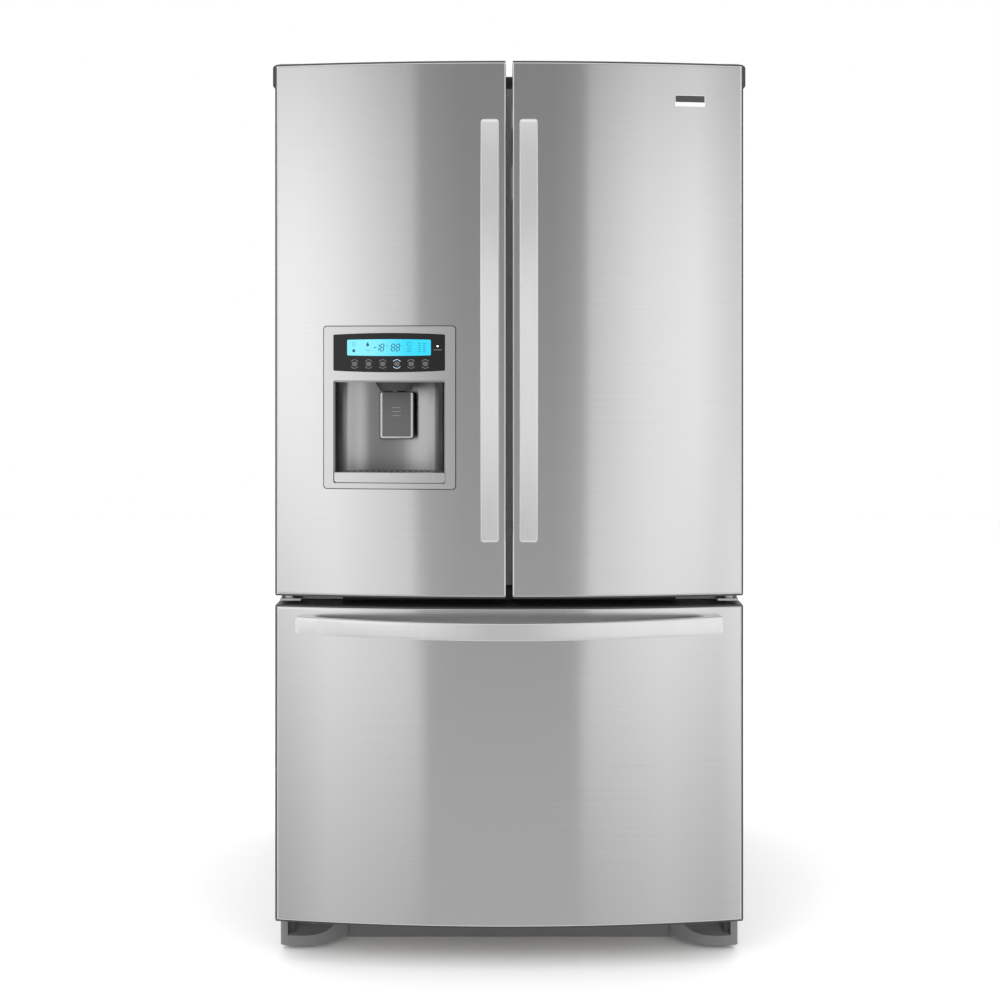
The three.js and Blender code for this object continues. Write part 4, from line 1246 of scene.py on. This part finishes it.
# Millimetres of rounding on the edges of each.
ROUNDING = {
    "left_side_panel": 0.9,
    "right_side_panel": 0.9,
    "top_panel": 0.5,
    "back_panel": 0.4,
    "case_foam": 0.0,
    "fridge_liner": 1.2,
    "freezer_liner": 1.2,
    "center_rail": 0.6,
    "left_top_hinge": 0.8,
    "right_top_hinge": 0.8,
    "left_center_hinge": 0.8,
    "right_center_hinge": 0.8,
    "base_pan": 0.5,
    "rear_cover": 0.0,
    "compressor": 1.5,
    "condenser": 0.0,
    "condenser_fan": 0.3,
    "left_leveling_leg": 0.6,
    "right_leveling_leg": 0.6,
    "left_rear_roller": 1.5,
    "right_rear_roller": 1.5,
    "air_duct": 1.5,
    "crisper_cover": 1.0,
    "dairy_lid": 0.6,
    "mullion_flap": 1.5,
    "drawer_liner": 2.0,
    "drawer_frame": 0.6,
    "middle_rail": 0.6,
}


def keep_node(name, width):
    """Gives a carried-over node its finish and softly rounded edges."""
    node = NODES[name]
    smooth(node.data, 35)
    node.data.materials.clear()
    node.data.materials.append(LOOKS[NODE_SLOT[name]])
    if width:
        soften(node, width * MM, 2)


for name, width in ROUNDING.items():
    keep_node(name, width)

# ---------------------------------------------------------------- case details


def shelf_piece(name):
    """A glass shelf in a white frame, on two steel brackets."""
    low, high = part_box(name)
    front_edge = low.y + 6 * MM
    glass = slab(
        (low.x + 5 * MM, front_edge + 4 * MM, high.z - 7.6 * MM),
        (high.x - 5 * MM, high.y - 10 * MM, high.z - 3.4 * MM),
        6 * MM,
    )
    finish_piece(name, glass, "cabinet", "shelf_glass", [name], bevel=0.6 * MM, segments=2)
    outer = slab((low.x, low.y, high.z - 15 * MM), (high.x, low.y + 12 * MM, high.z), 4 * MM, "x")
    finish_piece(f"{name}_nosing", outer, "cabinet", "white_plastic", bevel=1 * MM)
    for side, (a, b) in {"left": (low.x, low.x + 6 * MM), "right": (high.x - 6 * MM, high.x)}.items():
        rail = slab((a, low.y + 10 * MM, high.z - 9 * MM), (b, high.y, high.z - 2.6 * MM), 1.5 * MM, "y")
        finish_piece(f"{name}_{side}_trim", rail, "cabinet", "white_plastic")
        middle = (a + b) / 2
        outline = [
            (high.y, high.z - 9 * MM),
            (high.y, low.z),
            (high.y - 20 * MM, low.z),
            (low.y + 30 * MM, high.z - 20 * MM),
            (low.y + 16 * MM, high.z - 9 * MM),
        ]
        plate = prism(outline, "x", middle - 1.5 * MM, middle + 1.5 * MM)
        finish_piece(f"{name}_{side}_bracket", plate, "cabinet", "hinge_zinc", bevel=0.5 * MM, segments=2)
    rear = slab((low.x, high.y - 12 * MM, high.z - 11 * MM), (high.x, high.y, high.z), 3 * MM, "x")
    finish_piece(f"{name}_back_trim", rear, "cabinet", "white_plastic", bevel=1 * MM)


for row in ("upper", "lower"):
    for side in ("left", "right"):
        shelf_piece(f"{row}_{side}_shelf")

INSIDE_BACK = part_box("fridge_liner")[1].y - 2.5 * MM
DUCT_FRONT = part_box("air_duct")[0].y


def ladder(x):
    """A slotted steel track on the back wall, that the shelf brackets hook into."""
    z0, z1 = 1010 * MM, 1650 * MM
    bm = slab((x - 9 * MM, INSIDE_BACK - 4 * MM, z0), (x + 9 * MM, INSIDE_BACK - 0.2 * MM, z1), 2 * MM, "y")
    slots = bmesh.new()
    count = 24
    for i in range(count):
        z = z0 + (z1 - z0) * (i + 0.5) / count
        slot = rounded(x - 2 * MM, x + 2 * MM, z - 7 * MM, z + 7 * MM, 1 * MM, 2)
        prism(slot, "y", INSIDE_BACK - 0.02, INSIDE_BACK - 1 * MM, slots)
    return carve(bm, slots)


for label, x in {"left": -200 * MM, "right": 200 * MM}.items():
    finish_piece(f"{label}_ladder", ladder(x), "cabinet", "hinge_zinc", angle=40)


def lamp(name, low, high, axis):
    finish_piece(name, slab(low, high, 8 * MM, axis), "cabinet", "white_plastic", bevel=2.5 * MM, look=LAMP)


lamp("ceiling_lamp", (-150 * MM, -0.12, 1683 * MM), (150 * MM, 0.02, 1694.6 * MM), "z")
lamp_low = (-45 * MM, DUCT_FRONT - 5 * MM, 1560 * MM)
lamp("duct_lamp", lamp_low, (45 * MM, DUCT_FRONT - 0.2 * MM, 1640 * MM), "y")


def water_filter():
    """The filter cartridge in the top right corner."""
    centre = (345 * MM, 0, 1650 * MM)
    profile = [(24, 20), (30, 24), (32, 30), (32, 70), (30, 74), (30, 300), (20, 304)]
    bm = lathe([(r * MM, y * MM - 0.02) for r, y in profile], centre, 40, "y")
    finish_piece("water_filter", bm, "cabinet", "white_plastic", angle=40)
    cap = slab((338 * MM, -0.008, 1630 * MM), (352 * MM, 0.004, 1670 * MM), 3 * MM, "y")
    finish_piece("filter_handle", cap, "cabinet", "grey_plastic", bevel=1.2 * MM)


water_filter()


def side_ribs():
    """Moulded ribs on the fridge walls, which the crisper cover and shelves rest near."""
    for label, side in SIDES.items():
        bm = bmesh.new()
        x = side * 406 * MM
        a, b = sorted((x, x - side * 4 * MM))
        for z in (1005 * MM, 1150 * MM, 1290 * MM, 1385 * MM, 1530 * MM):
            slab((a, -0.16, z), (b, 0.29, z + 8 * MM), 0.0, "y", bm)
        finish_piece(f"{label}_wall_ribs", bm, "cabinet", "white_plastic", bevel=1.8 * MM)


side_ribs()


def evaporator_cover():
    """The white panel at the back of the freezer, with its air slots."""
    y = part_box("freezer_liner")[1].y - 2.7 * MM
    bm = slab((-340 * MM, y - 14 * MM, 392 * MM), (340 * MM, y, 630 * MM), 14 * MM, "y")
    slots = bmesh.new()
    for column in range(9):
        for row in range(4):
            x, z = (-256 + column * 64) * MM, (520 + row * 22) * MM
            slot = rounded(x - 22 * MM, x + 22 * MM, z, z + 9 * MM, 4 * MM, 4)
            prism(slot, "y", y - 0.03, y - 5 * MM, slots)
    finish_piece("evaporator_cover", carve(bm, slots), "cabinet", "white_plastic", angle=40)


evaporator_cover()


def hinge_cover(name):
    """A moulded cover over a top hinge, higher behind than in front."""
    low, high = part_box(name)
    outline = [
        (low.y, low.z + 14.4 * MM),
        (low.y, low.z + 18 * MM),
        (low.y + 38 * MM, low.z + 25 * MM),
        (low.y + 62 * MM, low.z + 30 * MM),
        (low.y + 80 * MM, high.z),
        (high.y - 30 * MM, high.z),
        *arc(high.y - 12 * MM, high.z - 12 * MM, 12 * MM, 90, 10, 5),
        (high.y, low.z),
        (CASE_FRONT + 3.6 * MM, low.z),
        (CASE_FRONT + 3.6 * MM, low.z + 14.4 * MM),
    ]
    bm = prism(outline, "x", low.x, high.x)
    finish_piece(name, bm, "cabinet", "dark_plastic", [name], bevel=2.2 * MM)
    place = ((low.x + high.x) / 2, high.y - 46 * MM, high.z)
    head = screw_head(bmesh.new(), place, "z", 4.5 * MM)
    finish_piece(f"{name}_screw", head, "cabinet", "hinge_zinc", angle=40)


def screw_head(bm, centre, axis, radius):
    """A low domed head."""
    height = radius * 0.55
    dome = [(1, 0), (1, 0.35), (0.85, 0.8), (0.5, 1), (0.12, 1)]
    return lathe([(radius * r, height * h) for r, h in dome], centre, 16, axis, bm)


for name in ("left_hinge_cover", "right_hinge_cover"):
    hinge_cover(name)


def rear_details():
    """Screws, foil tape and the plugs of the foam ports on the back."""
    low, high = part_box("back_panel")
    cover_low, cover_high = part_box("rear_cover")
    bm = bmesh.new()
    for z in (360, 700, 1040, 1380, 1700):
        for side in (-1, 1):
            screw_head(bm, (side * 436 * MM, high.y - 1 * MM, z * MM), "y", 3.6 * MM)
    for x in (-420, -210, 0, 210, 420):
        for z in (cover_low.z + 9 * MM, cover_high.z - 9 * MM):
            screw_head(bm, (x * MM, cover_high.y - 5.2 * MM, z), "y", 3.6 * MM)
    finish_piece("rear_screws", bm, "cabinet", "hinge_zinc", angle=40)
    bm = bmesh.new()
    filler = [(16 * MM, 0), (16 * MM, 1.6 * MM), (14 * MM, 2.4 * MM), (4 * MM, 2.4 * MM)]
    for x in (-140, 140):
        for z in (1500, 560):
            lathe(filler, (x * MM, high.y - 1.4 * MM, z * MM), 28, "y", bm)
    finish_piece("foam_port_plugs", bm, "cabinet", "white_plastic", angle=40)
    bm = slab(
        (-430 * MM, high.y - 1 * MM, low.z + 6 * MM),
        (430 * MM, high.y - 0.6 * MM, low.z + 40 * MM),
        2 * MM,
        "y",
    )
    finish_piece("foil_tape", bm, "cabinet", "zinc_sheet", look=FOIL)


rear_details()


def base_grille():
    """Leg covers with a bullnose and a scooped shoulder, and the kick plate between them."""
    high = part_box("base_grille")[1]
    top = high.z

    def depth(d):
        return CASE_FRONT + d * MM

    for label, side in SIDES.items():
        wide = high.x + 2.6 * MM
        nose = [(high.x, depth(60)), (high.x, depth(-0.6)), (wide, depth(-0.6))]
        nose += arc(wide - 8 * MM, depth(-1), 8 * MM, 0, -70, 5)
        sweep = [(436, -10.5), (406, -12), (382, -8.5), (362, 2), (346, 16), (334, 28.5), (322, 40)]
        for (xa, da), (xb, db) in zip(sweep, sweep[1:]):
            for i in range(4):
                t = i / 4
                nose.append(((xa + (xb - xa) * t) * MM, depth(da + (db - da) * t)))
        nose += [(322 * MM, depth(42)), (322 * MM, depth(60))]
        outline = [(side * x, y) for x, y in nose]
        bm = prism(outline, "z", 10 * MM, top)
        scoop = bmesh.new()
        shoulder = [
            (depth(-60), 29 * MM),
            (depth(-12), 29 * MM),
            (depth(2), 33 * MM),
            (depth(16), 42 * MM),
            (depth(29), 56 * MM),
            (depth(38), 71 * MM),
            (depth(42), 90 * MM),
            (depth(-60), 90 * MM),
        ]
        a, b = sorted((side * 300 * MM, side * 438 * MM))
        prism(shoulder, "x", a, b, scoop)
        end = [(depth(-0.8), 29 * MM), (depth(70), 29 * MM), (depth(70), 90 * MM), (depth(-0.8), 90 * MM)]
        a, b = sorted((side * 427 * MM, side * 470 * MM))
        above = [(depth(-60), 64 * MM), (depth(-0.6), 64 * MM), (depth(-0.6), 90 * MM), (depth(-60), 90 * MM)]
        bm = carve(bm, scoop, prism(end, "x", a, b), prism(above, "x", a, b))
        finish_piece(f"{label}_leg_cover", bm, "cabinet", "grey_plastic", bevel=1.2 * MM, angle=38)
        # A thin dark plate in front of the side panel's edge, beside the scoop: painted shade for the scoop's
        # side under the drawer.
        a, b = sorted((side * 426 * MM, side * 439 * MM))
        filler = slab((a, depth(-2), 30 * MM), (b, depth(-0.6), 63 * MM))
        finish_piece(f"{label}_scoop_shade_plate", filler, "cabinet", "dark_plastic", bevel=0.3 * MM, segments=1)
    bm = slab((-330 * MM, depth(42), 3 * MM), (330 * MM, depth(46), top), 0.0)
    finish_piece("base_grille", bm, "cabinet", "grey_plastic", ["base_grille"], bevel=1 * MM)


base_grille()


def machine_pipes():
    """The copper lines between the compressor and the condenser."""
    low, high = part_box("compressor")
    near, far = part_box("condenser")
    centre = (low + high) / 2
    for i, y in enumerate((near.y + 9 * MM, far.y - 9 * MM)):
        start = Vector((centre.x + 90 * MM, centre.y + (i - 0.5) * 40 * MM, centre.z + 30 * MM))
        stop = Vector((near.x + 4 * MM, y, far.z - 10 * MM))
        points = []
        for k in range(25):
            t = k / 24
            sway = Vector((0, 12 * MM * math.sin(2 * math.pi * t), 14 * MM * math.sin(math.pi * t)))
            points.append(tuple(start.lerp(stop, t) + sway))
        line = tube(points, 3 * MM)
        finish_piece(f"copper_line_{i + 1}", line, "cabinet", "hinge_zinc", look=COPPER, angle=60)


machine_pipes()

# ---------------------------------------------------------------- stage, lights and camera


def stage_plane(name, size, location, rotation, look):
    mesh = bpy.data.meshes.new(name)
    x, y = size[0] / 2, size[1] / 2
    mesh.from_pydata([(-x, -y, 0), (x, -y, 0), (x, y, 0), (-x, y, 0)], [], [(0, 1, 2, 3)])
    mesh.materials.append(look)
    plane = bpy.data.objects.new(name, mesh)
    plane.location = location
    plane.rotation_euler = rotation
    bpy.context.scene.collection.objects.link(plane)
    return plane


# What the fronts mirror: grey values at places on a card, in metres from its middle.
CARD_HALF = 5
CARD_GLOW = 1.45
UPPER_LIGHT = [(-2.5, 1), (-2, 0.9), (-1.1, 0.57), (0.9, 0.57), (1.5, 0.8), (2.2, 0.9), (2.7, 0.7)]
LOWER_LIGHT = [(-2.7, 0.75), (-2.1, 0.95), (-1, 0.8), (0.9, 0.8), (1.8, 0.95), (2.5, 0.85), (2.7, 1)]
LIGHT_UPWARDS = [(-2.1, 0.45), (0, 0.86), (1.5, 0.95), (2.3, 0.87), (3.2, 0.52)]
DARK_UPWARDS = [(-1, 0.38), (-0.6, 0.33), (0, 0.32), (3, 0.2)]
UPPER_BAND = [(-1.1, 0), (-1, 0.75), (-0.5, 1), (0.5, 1), (0.85, 0.75), (0.9, 0)]
LOWER_BAND = [(-1, 0), (-0.9, 1), (0.75, 1), (0.85, 0)]
BAND_CHANGE = [(-0.45, 1), (-0.2, 0)]  # from the lower band to the upper one
LIGHT_CHANGE = [(-0.45, 1), (0.9, 0)]  # from the lower light to the upper one


def card_look():
    """A glowing card: a dark band between two light sides, both of which change with height."""
    look = bpy.data.materials.new("card")
    look.use_nodes = True
    tree = look.node_tree
    tree.nodes.clear()

    def make(kind, **values):
        node = tree.nodes.new(f"ShaderNode{kind}")
        for key, value in values.items():
            setattr(node, key, value)
        return node

    def stops(fac, pairs):
        """Grey values at places along an input that runs across the card."""
        spread = make("MapRange")
        spread.inputs["From Min"].default_value = -CARD_HALF
        spread.inputs["From Max"].default_value = CARD_HALF
        colors = make("ValToRGB")
        while len(colors.color_ramp.elements) < len(pairs):
            colors.color_ramp.elements.new(0.5)
        for stop, (place, value) in zip(colors.color_ramp.elements, pairs):
            stop.position = (place + CARD_HALF) / (2 * CARD_HALF)
            stop.color = (value, value, value, 1)
        tree.links.new(fac, spread.inputs["Value"])
        tree.links.new(spread.outputs["Result"], colors.inputs["Fac"])
        return colors.outputs["Color"]

    def mix(fac, a, b, kind="MIX"):
        node = make("Mix", data_type="RGBA", blend_type=kind)
        if isinstance(fac, float):
            node.inputs["Factor"].default_value = fac
        else:
            tree.links.new(fac, node.inputs["Factor"])
        tree.links.new(a, node.inputs[6])
        tree.links.new(b, node.inputs[7])
        return node.outputs[2]

    place = make("TexCoord")
    split = make("SeparateXYZ")
    tree.links.new(place.outputs["Object"], split.inputs["Vector"])
    across, up = split.outputs["X"], split.outputs["Y"]
    band = mix(stops(up, BAND_CHANGE), stops(across, UPPER_BAND), stops(across, LOWER_BAND))
    light = mix(stops(up, LIGHT_CHANGE), stops(across, UPPER_LIGHT), stops(across, LOWER_LIGHT))
    light = mix(1.0, light, stops(up, LIGHT_UPWARDS), "MULTIPLY")
    glow = make("Emission")
    glow.inputs["Strength"].default_value = CARD_GLOW
    out = make("OutputMaterial")
    tree.links.new(mix(band, light, stops(up, DARK_UPWARDS)), glow.inputs["Color"])
    tree.links.new(glow.outputs["Emission"], out.inputs["Surface"])
    return look


def studio():
    """A pale floor, soft lights, and the card that the fronts mirror."""
    scene = bpy.context.scene
    world = bpy.data.worlds.new("studio")
    scene.world = world
    world.use_nodes = True
    world.node_tree.nodes["Background"].inputs["Color"].default_value = (1, 1, 1, 1)
    world.node_tree.nodes["Background"].inputs["Strength"].default_value = 1.0
    floor_look = shader("floor", (0.97, 0.97, 0.97), 0.9)
    floor = stage_plane("floor", (14, 14), (0, 0, 0), (0, 0, 0), floor_look)
    floor.visible_glossy = False
    card_size = (2 * CARD_HALF, 2 * CARD_HALF)
    upright = (math.radians(90), 0, 0)
    card = stage_plane("mirror_card", card_size, (0, -5, 0), upright, card_look())
    for kind in ("camera", "diffuse", "shadow", "transmission"):
        setattr(card, f"visible_{kind}", False)
    lights = [
        ("key", (-2.6, -3.2, 3.4), 3.0, 60),
        ("fill", (2.8, -3.0, 2.6), 3.0, 45),
        ("top", (0, 0.2, 4.2), 4.0, 50),
    ]
    for name, location, size, power in lights:
        data = bpy.data.lights.new(name, "AREA")
        data.energy = power
        data.size = size
        lamp_object = bpy.data.objects.new(name, data)
        lamp_object.location = location
        aim = Vector((0, 0, 0.9)) - Vector(location)
        lamp_object.rotation_euler = aim.to_track_quat("-Z", "Y").to_euler()
        lamp_object.visible_glossy = False
        scene.collection.objects.link(lamp_object)
    scene.view_settings.view_transform = "Standard"


EYE_HEIGHT = 1.1616
EYE_BACK = 2.5  # from the fronts' outer edges


def camera():
    """Level, in front, a little above the middle."""
    data = bpy.data.cameras.new("camera")
    data.lens = 46.44
    data.sensor_width = 36
    data.shift_x = -0.0092
    data.shift_y = -0.137
    data.clip_end = 60
    made = bpy.data.objects.new("camera", data)
    made.location = (0, front(HALF) - EYE_BACK, EYE_HEIGHT)
    made.rotation_euler = (math.radians(90), 0, 0)
    bpy.context.scene.collection.objects.link(made)
    bpy.context.scene.camera = made


studio()
camera()
